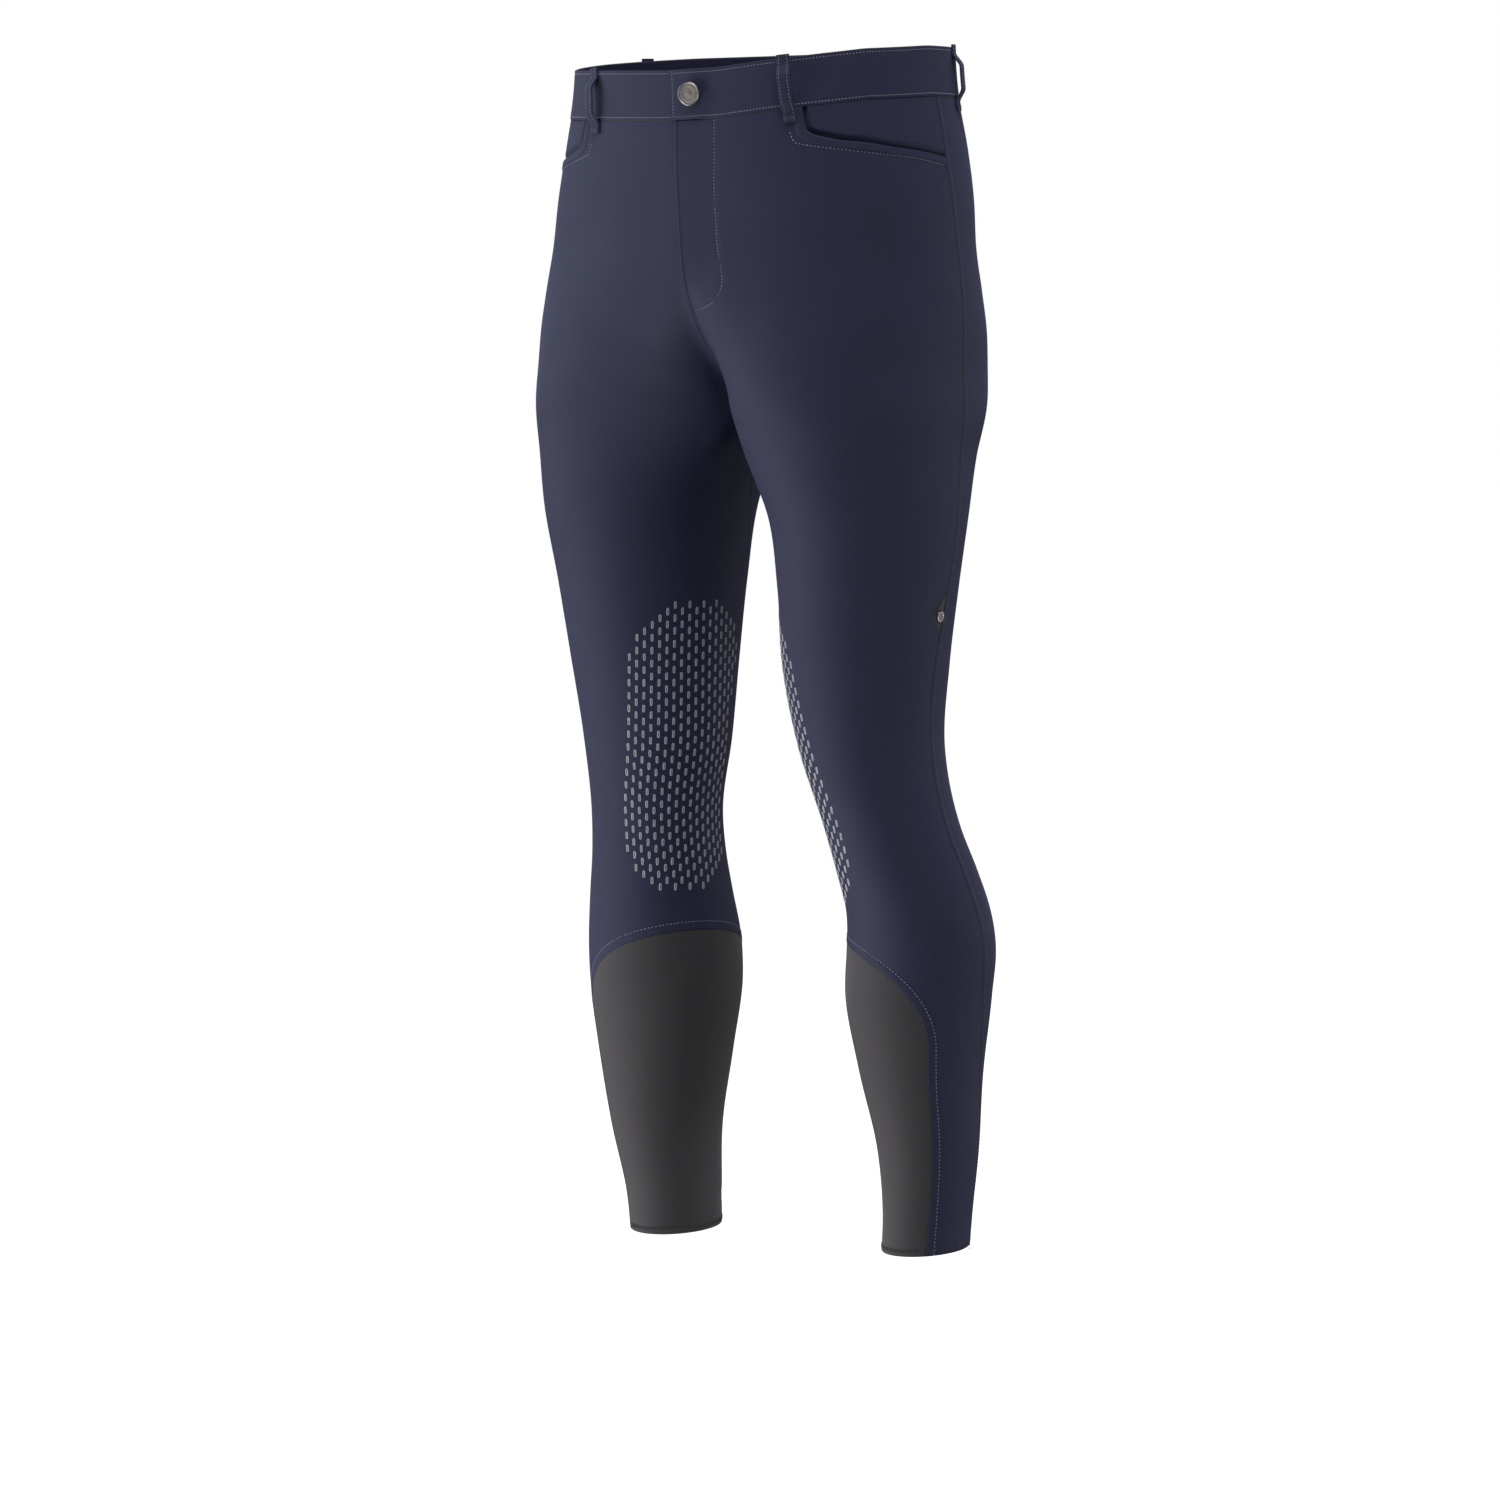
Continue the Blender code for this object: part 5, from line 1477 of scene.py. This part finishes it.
@dataclass(frozen=True)
class BeltLoop:
    """A folded strip sewn down above and below the band, standing off it between."""

    node: str
    side: Side
    turn: float  # angle of the foot in degrees
    lean: float = 0.0  # how far the top leans towards the front, in degrees
    width: float = 10.5 * MM
    above: float = 2 * MM
    below: float = 11 * MM
    stand: float = 6.6 * MM
    rest: float = 0.9 * MM
    cloth: float = 1.7 * MM

    def path(self) -> tuple[Array, Array, Array]:
        """The strip's middle line, its sideways and its outward directions.

        The stand-off rises on an S near the top, stays, and falls on an S to the foot.
        """
        form = LegForm(self.side)
        share = marks_between(1.0, 0.028, np.array((0, 0.002, 0.006, 0.012, 0.02, 0.035)),
                              np.array((0, 0.002, 0.006, 0.012, 0.02, 0.035)))
        top = float(form.waist(math.radians(self.turn))) + BAND_HEIGHT + self.above
        z = top - share * (BAND_HEIGHT + self.above + self.below)
        middle = np.radians(self.turn - self.lean * (1 - share))
        stand = self.rest + (self.stand - self.rest) * fade(share, 0.13, 0.34) * fade(share, 0.87, 0.66)
        place, normal = form.skin(middle, z), form.normal(middle, z)
        line = place + normal * stand[:, None]
        across = unit(np.cross(np.gradient(place, axis=0), normal))
        return line, across, unit(np.cross(across, np.gradient(line, axis=0)))

    def build(self) -> list[tuple[Array, Array, float]]:
        """The strip's object.

        Across the strip both faces close in on a half circle at the edges, and a
        stitched line 2 mm inside each edge presses a groove.

        Returns:
            The sewing rows on it.
        """
        line, across, outward = self.path()
        outward = outward * np.sign(np.sum(outward * LegForm(self.side).normal(
            np.full(len(line), math.radians(self.turn)), line[:, 2]), axis=1, keepdims=True))
        half = self.width / 2
        edge = np.array((0, 0.1, 0.3, 0.6, 1.0, 1.5, 2.0, 2.5, 3.4)) * MM
        spread = np.concatenate((-half + edge, (0.0,), half - edge[::-1]))
        inset = half - np.abs(spread)
        length = np.linalg.norm(line[-1] - line[0])
        share = np.concatenate(((0,), np.cumsum(np.linalg.norm(np.diff(line, axis=0), axis=1))))
        ends = np.minimum(share, share[-1] - share)[:, None]
        gap = np.minimum(inset[None], ends)
        r = self.cloth / 2
        closing = r - np.sqrt(np.maximum(r**2 - np.clip(r - gap, 0, r) ** 2, 0))
        groove = 0.22 * MM * np.exp(-(((inset - 2.0 * MM) / (0.7 * MM)) ** 2))[None] * fade(ends, 0, 3 * MM)
        curl = -0.35 * MM * (spread / half)[None] ** 2
        base = line[:, None] + across[:, None] * spread[None, :, None]
        outer = base + outward[:, None] * (self.cloth - closing - groove + curl)[..., None]
        inner = base + outward[:, None] * (closing + curl)[..., None]
        uv = np.stack(np.broadcast_arrays(spread[None], share[:, None]), -1).reshape(-1, 2)
        flip = float(np.dot(np.cross(across[5], line[0] - line[-1]), outward[5])) < 0
        faces = triangles_of(len(line), len(spread), not flip)
        points, triangles, source = shell(outer.reshape(-1, 3), inner.reshape(-1, 3), faces)
        thing = mesh_object(f"{self.node}_cloth", points, triangles, NAVY.material(), uv[source])
        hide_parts(self.node)
        log.info("%s: %d triangles, %.1f mm long", thing.name, len(triangles), length / MM)
        rows = []
        for column in (-half + 2.0 * MM, half - 2.0 * MM):
            rows.append((line + across * column + outward * (self.cloth - 0.24 * MM), outward, 2.6 * MM))
        return rows

    def tack(self) -> list[tuple[Array, Array, float]]:
        """The bar tack at the foot: close level stitches across the strip."""
        line, across, outward = self.path()
        outward = outward * np.sign(np.sum(outward * LegForm(self.side).normal(
            np.full(len(line), math.radians(self.turn)), line[:, 2]), axis=1, keepdims=True))
        share = np.concatenate(((0,), np.cumsum(np.linalg.norm(np.diff(line, axis=0), axis=1))))
        rows = []
        for at in share[-1] - MM * np.arange(2.2, 4.6, 0.55):
            centre, side, out = (np.array([np.interp(at, share, v[:, i]) for i in range(3)]) for v in (line, across, outward))
            ends = centre + side * np.array((-4.3, 4.3))[:, None] * MM + out * (self.cloth + 0.05 * MM)
            rows.append((ends, np.stack((out, out)), 4.3 * MM))
        return rows


@dataclass(frozen=True)
class Gusset:
    """The small charcoal triangle let into the left side seam."""

    node: str = "seam_gusset_left"
    flat: tuple[float, float] = (0.0125, 0.034)
    area: float = 0.00021

    def build(self) -> None:
        """A patch whose rows shrink to nothing at its top and foot."""
        form = LegForm(Side.LEFT)
        seams = Seams(form)
        z = np.concatenate((np.linspace(GUSSET_TOP, GUSSET_APEX[1], 26), np.linspace(GUSSET_APEX[1], GUSSET_FOOT, 20)[1:]))
        left, right = seams.outer_edge(z), seams.from_table(OUTSEAM, z)
        left[[0, -1]] = right[[0, -1]]
        s = np.concatenate((np.linspace(0, 0.12, 5)[:-1], np.linspace(0.12, 0.88, 9), np.linspace(0.88, 1, 5)[1:]))
        places = left[:, None] * (1 - s[None, :, None]) + right[:, None] * s[None, :, None]
        outline = np.concatenate((seams.outer_edge(z), seams.from_table(OUTSEAM, z)[::-1]))
        relief = Relief(form, [(form.even(outline, 1.5 * MM), 0.7 * MM)])
        ClothPanel(self.node, form, [Grid(places)], relief, CHARCOAL, self.flat, self.area).build()


@dataclass(frozen=True)
class Turned:
    """A metal piece turned round an axis that stands on the cloth."""

    node: str
    side: Side
    angle: float
    z: float
    lift: float
    profile: tuple[tuple[float, float], ...]  # radius and height in mm, on the axis first and last
    sunk: tuple[float, float]  # the stippled finish lies inside this radius and above this height, in mm
    segments: int = 64
    turn_left: float = 0.0  # degrees that its axis is turned level towards the left

    def build(self) -> None:
        """The turned surface: a ring of points for each profile row, closed at both poles."""
        form = LegForm(self.side)
        centre = form.skin(self.angle, self.z)
        axis = form.normal(np.array(self.angle), np.array(self.z))
        centre = centre + axis * self.lift
        cosine, sine = math.cos(math.radians(self.turn_left)), math.sin(math.radians(self.turn_left))
        axis = np.array((axis[0] * cosine - axis[1] * sine, axis[0] * sine + axis[1] * cosine, axis[2]))
        first = unit(np.cross(axis, (0, 0, 1)))
        second = np.cross(axis, first)
        rows = np.array(self.profile) * MM
        fine = Half.smooth(rows, 2)
        turn = np.linspace(0, 2 * math.pi, self.segments + 1)
        round_way = np.cos(turn)[:, None] * first + np.sin(turn)[:, None] * second
        points = centre + axis * fine[:, 1][:, None, None] + fine[:, 0][:, None, None] * round_way
        faces = triangles_of(len(fine), len(turn), False)
        _, first_use, welded = np.unique(np.round(points.reshape(-1, 3), 7), axis=0, return_index=True, return_inverse=True)
        faces = welded.reshape(-1)[faces]
        spots = points.reshape(-1, 3)[first_use]
        middle = spots[faces].mean(axis=1)
        normal = np.cross(spots[faces][:, 1] - spots[faces][:, 0], spots[faces][:, 2] - spots[faces][:, 0])
        inside = centre + axis * fine[:, 1].mean()
        if np.sum(np.sum(normal * (middle - inside), axis=1)) < 0:
            faces = faces[:, ::-1]
        radius = np.linalg.norm(np.cross(middle - centre, axis), axis=1)
        height = (middle - centre) @ axis
        within, above = self.sunk
        slots = ((radius < within * MM) & (height > above * MM)).astype(int)
        thing = mesh_object(f"{self.node}_metal", spots, faces, BRIGHT_METAL.material(), None, slots,
                            (SUNK_METAL.material(),))
        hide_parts(self.node)
        log.info("%s: %d triangles", thing.name, len(faces))


# The first and last dash of each column from the front of the knee to its back, in half
# pitches below the top row.
GRIP_ENDS = ((8, 38), (5, 41), (4, 42), (3, 43), (2, 44), (1, 43), (0, 44), (1, 43), (0, 44), (1, 43), (0, 44), (1, 43),
             (0, 42), (1, 41), (2, 40), (3, 39), (4, 14), (7, 9))


@dataclass(frozen=True)
class KneeGrip:
    """Raised silicone dashes on the inner side of a knee, in staggered columns."""

    side: Side
    pitch: float = 10.2 * MM
    spread: float = 5.3 * MM
    centre_angle: float = -67.5
    turn: float = 5.94  # degrees between columns
    top_z: float = -397 * MM
    centre_z: float = -507 * MM
    size: tuple[float, float] = (2.35 * MM, 6.0 * MM)

    def template(self) -> tuple[Array, Array, Array]:
        """One dash: a rounded oblong whose raised rim falls to a shallow floor.

        Rings of twelve points follow a superellipse; going in they rise from the cloth
        to the rim and drop to the floor, which one fan closes.

        Returns:
            (n, 3) points, (m, 3) faces and (m,) slots, 1 for the floor, which takes the painted-shade copy.
        """
        turn = np.linspace(0, 2 * math.pi, 12, endpoint=False) + math.pi / 12
        power = 0.55
        x = np.sign(np.cos(turn)) * np.abs(np.cos(turn)) ** power * self.size[0] / 2
        y = np.sign(np.sin(turn)) * np.abs(np.sin(turn)) ** power * self.size[1] / 2
        rings = []
        for inset, height in ((-0.05, -0.25), (0.12, 0.42), (0.62, 0.45), (0.92, 0.12)):
            shrink = inset * MM
            rings.append(np.stack((x * (1 - 2 * shrink / self.size[0]), y * (1 - 2 * shrink / self.size[1]),
                                   np.full(12, height * MM)), 1))
        points = np.concatenate(rings + [np.array(((0, 0, 0.1 * MM),))])
        index = np.arange(48).reshape(4, 12)
        after = np.roll(index, -1, 1)
        walls = [np.stack(part, -1) for part in ((index[:-1], after[:-1], after[1:]), (index[:-1], after[1:], index[1:]))]
        # Slot 1, the floor, gets the darker painted-shade copy; the rim keeps the lighter painted-highlight copy.
        slots = np.repeat((0, 0, 1), 12)
        fan = np.stack((index[3], after[3], np.full(12, 48)), 1)
        faces = np.concatenate((walls[0].reshape(-1, 3), walls[1].reshape(-1, 3), fan))
        return points, faces, np.concatenate((slots, slots, np.ones(12, int)))

    def places(self) -> Array:
        """The dashes' (angle, height) places: staggered columns that end on a rounded outline.

        The columns keep their spacing on the cloth, so their angles close in where the
        leg is wider than at the knee.
        """
        ends = np.array(GRIP_ENDS)
        column = (len(ends) - 1) / 2 - np.arange(len(ends))
        row = ends[:, :1] + 2 * np.arange(23)
        kept = row <= ends[:, 1:]
        z = self.top_z - row * self.pitch / 2
        size = between_rows(SECTIONS, np.array((self.centre_z,)))[0, [1, 4]].sum()
        there = between_rows(SECTIONS, z)[..., [1, 4]].sum(axis=-1)
        angle = np.radians(self.centre_angle + (column * self.turn)[:, None] * size / there)
        return np.stack((angle[kept], z[kept]), 1)

    def build(self, relief: Relief) -> None:
        """Every dash of this knee as one object, each on the cloth's face."""
        form = LegForm(self.side)
        places = self.places()
        normal = form.normal(places[:, 0], places[:, 1])
        centre = form.place(places, relief.height(places[:, 0], places[:, 1]))
        up = unit(np.array((0, 0, 1.0)) - normal * normal[:, 2:])
        across = np.cross(up, normal)
        template, faces, slots = self.template()
        bow = -(template[:, 0] ** 2) / (2 * 55 * MM)
        points = (centre[:, None] + template[:, :1] * across[:, None] + template[:, 1:2] * up[:, None]
                  + (template[:, 2:] + bow[:, None]) * normal[:, None])
        shift = (np.arange(len(places)) * len(template))[:, None, None]
        # Rim in the painted-highlight copy, floor in the painted-shade copy of the same silicone.
        thing = mesh_object(f"knee_grip_{self.side.word}", points.reshape(-1, 3),
                            (faces[None] + shift).reshape(-1, 3), GRIP_RIM_PAINTED_HIGHLIGHT.material(), None,
                            np.tile(slots, len(places)), (GRIP_FLOOR_PAINTED_SHADE.material(),))
        log.info("%s: %d dashes, %d triangles", thing.name, len(places), len(places) * len(faces))


# ---------------------------------------------------------------- studio
# Each light's name, azimuth and elevation in degrees, distance, width, height and power.
# The two bounces stand in for what the pale floor would throw back.
STUDIO_LIGHTS = (
    ("key", -60, 10, 3.2, 1.2, 2.0, 23.5),
    ("key_side", -80, 5, 3.2, 1.0, 2.0, 8.5),
    ("key_bounce", -40, -35, 3.0, 1.4, 1.0, 54),
    ("overhead", 38, 70, 3.4, 1.6, 1.6, 50),
    ("fill", 60, -4, 3.2, 1.0, 1.6, 5.5),
    ("fill_side", 80, -4, 3.2, 1.0, 1.6, 6.0),
    ("fill_bounce", 110, -30, 3.0, 1.4, 1.0, 12),
    ("rim", 150, -4, 3.2, 1.0, 1.6, 9.5),
)


@dataclass(frozen=True)
class Studio:
    """Camera, soft lights and a plain pale floor."""

    azimuth: float = 38.0
    distance: float = 6.0
    tilt: float = 4.87
    yaw: float = 0.1045
    lens: float = 184.32
    floor_z: float = -0.985

    def camera(self) -> None:
        """A long lens to the wearer's front left, level with the waist and tilted down."""
        data = bpy.data.cameras.new("camera")
        data.lens, data.sensor_width, data.sensor_fit = self.lens, 36.0, "HORIZONTAL"
        data.clip_end = 100
        thing = bpy.data.objects.new("camera", data)
        turn = math.radians(self.azimuth)
        thing.location = (self.distance * math.sin(turn), -self.distance * math.cos(turn), 0)
        thing.rotation_euler = (math.radians(90 - self.tilt), 0, turn + math.radians(self.yaw))
        bpy.context.scene.collection.objects.link(thing)
        bpy.context.scene.camera = thing

    def light(self, name: str, azimuth: float, elevation: float, reach: float, size: tuple[float, float],
              power: float, aim: float = -0.5) -> None:
        """A rectangular soft light aimed at a height on the garment's axis."""
        data = bpy.data.lights.new(name, "AREA")
        data.shape, data.size, data.size_y, data.energy = "RECTANGLE", *size, power
        thing = bpy.data.objects.new(name, data)
        a, e = math.radians(azimuth), math.radians(elevation)
        thing.location = (reach * math.cos(e) * math.sin(a), -reach * math.cos(e) * math.cos(a),
                          aim + reach * math.sin(e))
        thing.rotation_euler = (math.pi / 2 - e, 0, a)
        bpy.context.scene.collection.objects.link(thing)

    def floor(self) -> None:
        """A wide pale disc, with a material of faint mottle."""
        turn = np.linspace(0, 2 * math.pi, 97)[:-1]
        ring = np.stack((40 * np.cos(turn), 40 * np.sin(turn), np.full(96, self.floor_z)), 1)
        mesh = bpy.data.meshes.new("studio_floor")
        mesh.from_pydata(ring.tolist(), [], [list(range(96))])
        s = Shader("studio_paper")
        place = s.add("ShaderNodeTexCoord").outputs["Object"]
        grain = s.noise(place, 60, 2)
        s.set(Base_Color=s.mixed(grain, (0.86, 0.86, 0.86), (0.9, 0.9, 0.9)), Roughness=0.9,
              Emission_Color=(1, 1, 1, 1), Emission_Strength=0.95)
        mesh.materials.append(s.material)
        thing = bpy.data.objects.new("studio_floor", mesh)
        thing.visible_diffuse = thing.visible_glossy = thing.visible_shadow = False  # lights stand in for its bounce
        bpy.context.scene.collection.objects.link(thing)

    def world(self) -> None:
        """A white surround to the camera and a dimmer even one to the cloth."""
        world = bpy.data.worlds.new("studio")
        world.use_nodes = True
        nodes, links = world.node_tree.nodes, world.node_tree.links
        back = nodes["Background"]
        path = nodes.new("ShaderNodeLightPath")
        span = nodes.new("ShaderNodeMapRange")
        span.inputs["To Min"].default_value = 0.062
        span.inputs["To Max"].default_value = 1.0
        links.new(path.outputs["Is Camera Ray"], span.inputs["Value"])
        links.new(span.outputs["Result"], back.inputs["Strength"])
        back.inputs["Color"].default_value = (1, 1, 1, 1)
        bpy.context.scene.world = world

    def build(self) -> None:
        """Set up the whole studio."""
        self.camera()
        self.world()
        self.floor()
        for name, azimuth, elevation, reach, width, height, power in STUDIO_LIGHTS:
            self.light(name, azimuth, elevation, reach, (width, height), power)
        bpy.context.scene.view_settings.view_transform = "Standard"


def main() -> None:
    """Build the garment piece by piece over the frame."""
    logging.basicConfig(level=logging.INFO, format="%(name)s: %(message)s")
    right, left = Half(Side.RIGHT), Half(Side.LEFT)
    for half in (right, left):
        half.build()
    Gusset().build()
    Topstitching((right, left)).build()
    loop_rows, tack_rows = [], []
    for node, side, turn, lean in (("belt_loop_front_right", Side.RIGHT, 30, -3.5),
                                   ("belt_loop_front_left", Side.LEFT, 36, 1.7),
                                   ("belt_loop_side_right", Side.RIGHT, 112, 0),
                                   ("belt_loop_side_left", Side.LEFT, 112, 0),
                                   ("belt_loop_back", Side.LEFT, 180, 0)):
        loop = BeltLoop(node, side, turn, lean)
        loop_rows += loop.build()
        tack_rows += loop.tack()
    Stitching("stitches_loops", THREAD, 0.46 * MM).build(loop_rows)
    Stitching("stitches_tacks", NAVY_THREAD, 0.42 * MM, 0.97).build(tack_rows)
    form = left.form
    button_z = 1.3 * MM
    Turned("waist_button", Side.LEFT, float(form.angle_at(17 * MM, np.array(button_z))), button_z, 3.4 * MM,
           ((0, 0), (3.4, 0), (3.4, 0.5), (3.4, 1.0), (7.4, 1.0), (8.9, 1.5), (9.3, 2.3), (9.2, 3.1), (8.8, 3.6),
            (8.35, 3.6), (8.1, 3.3), (7.9, 3.0), (6.6, 3.02), (6.3, 3.2), (5.6, 3.24), (5.3, 3.05), (2.4, 3.1),
            (2.0, 3.3), (0, 3.36)), (8.15, 2.0), turn_left=10).build()
    Turned("side_stud_left", Side.LEFT, math.radians(94), -400 * MM, 0.35 * MM,
           ((0, 0), (3.9, 0), (4.5, 0.5), (4.4, 1.0), (3.9, 1.35), (3.4, 1.3), (3.0, 1.05), (2.2, 1.1), (0, 1.35)),
           (3, 0.5), 40).build()
    for half in (right, left):
        KneeGrip(half.side).build(half.front_relief)
    Studio().build()


if __name__ == "__main__":
    main()
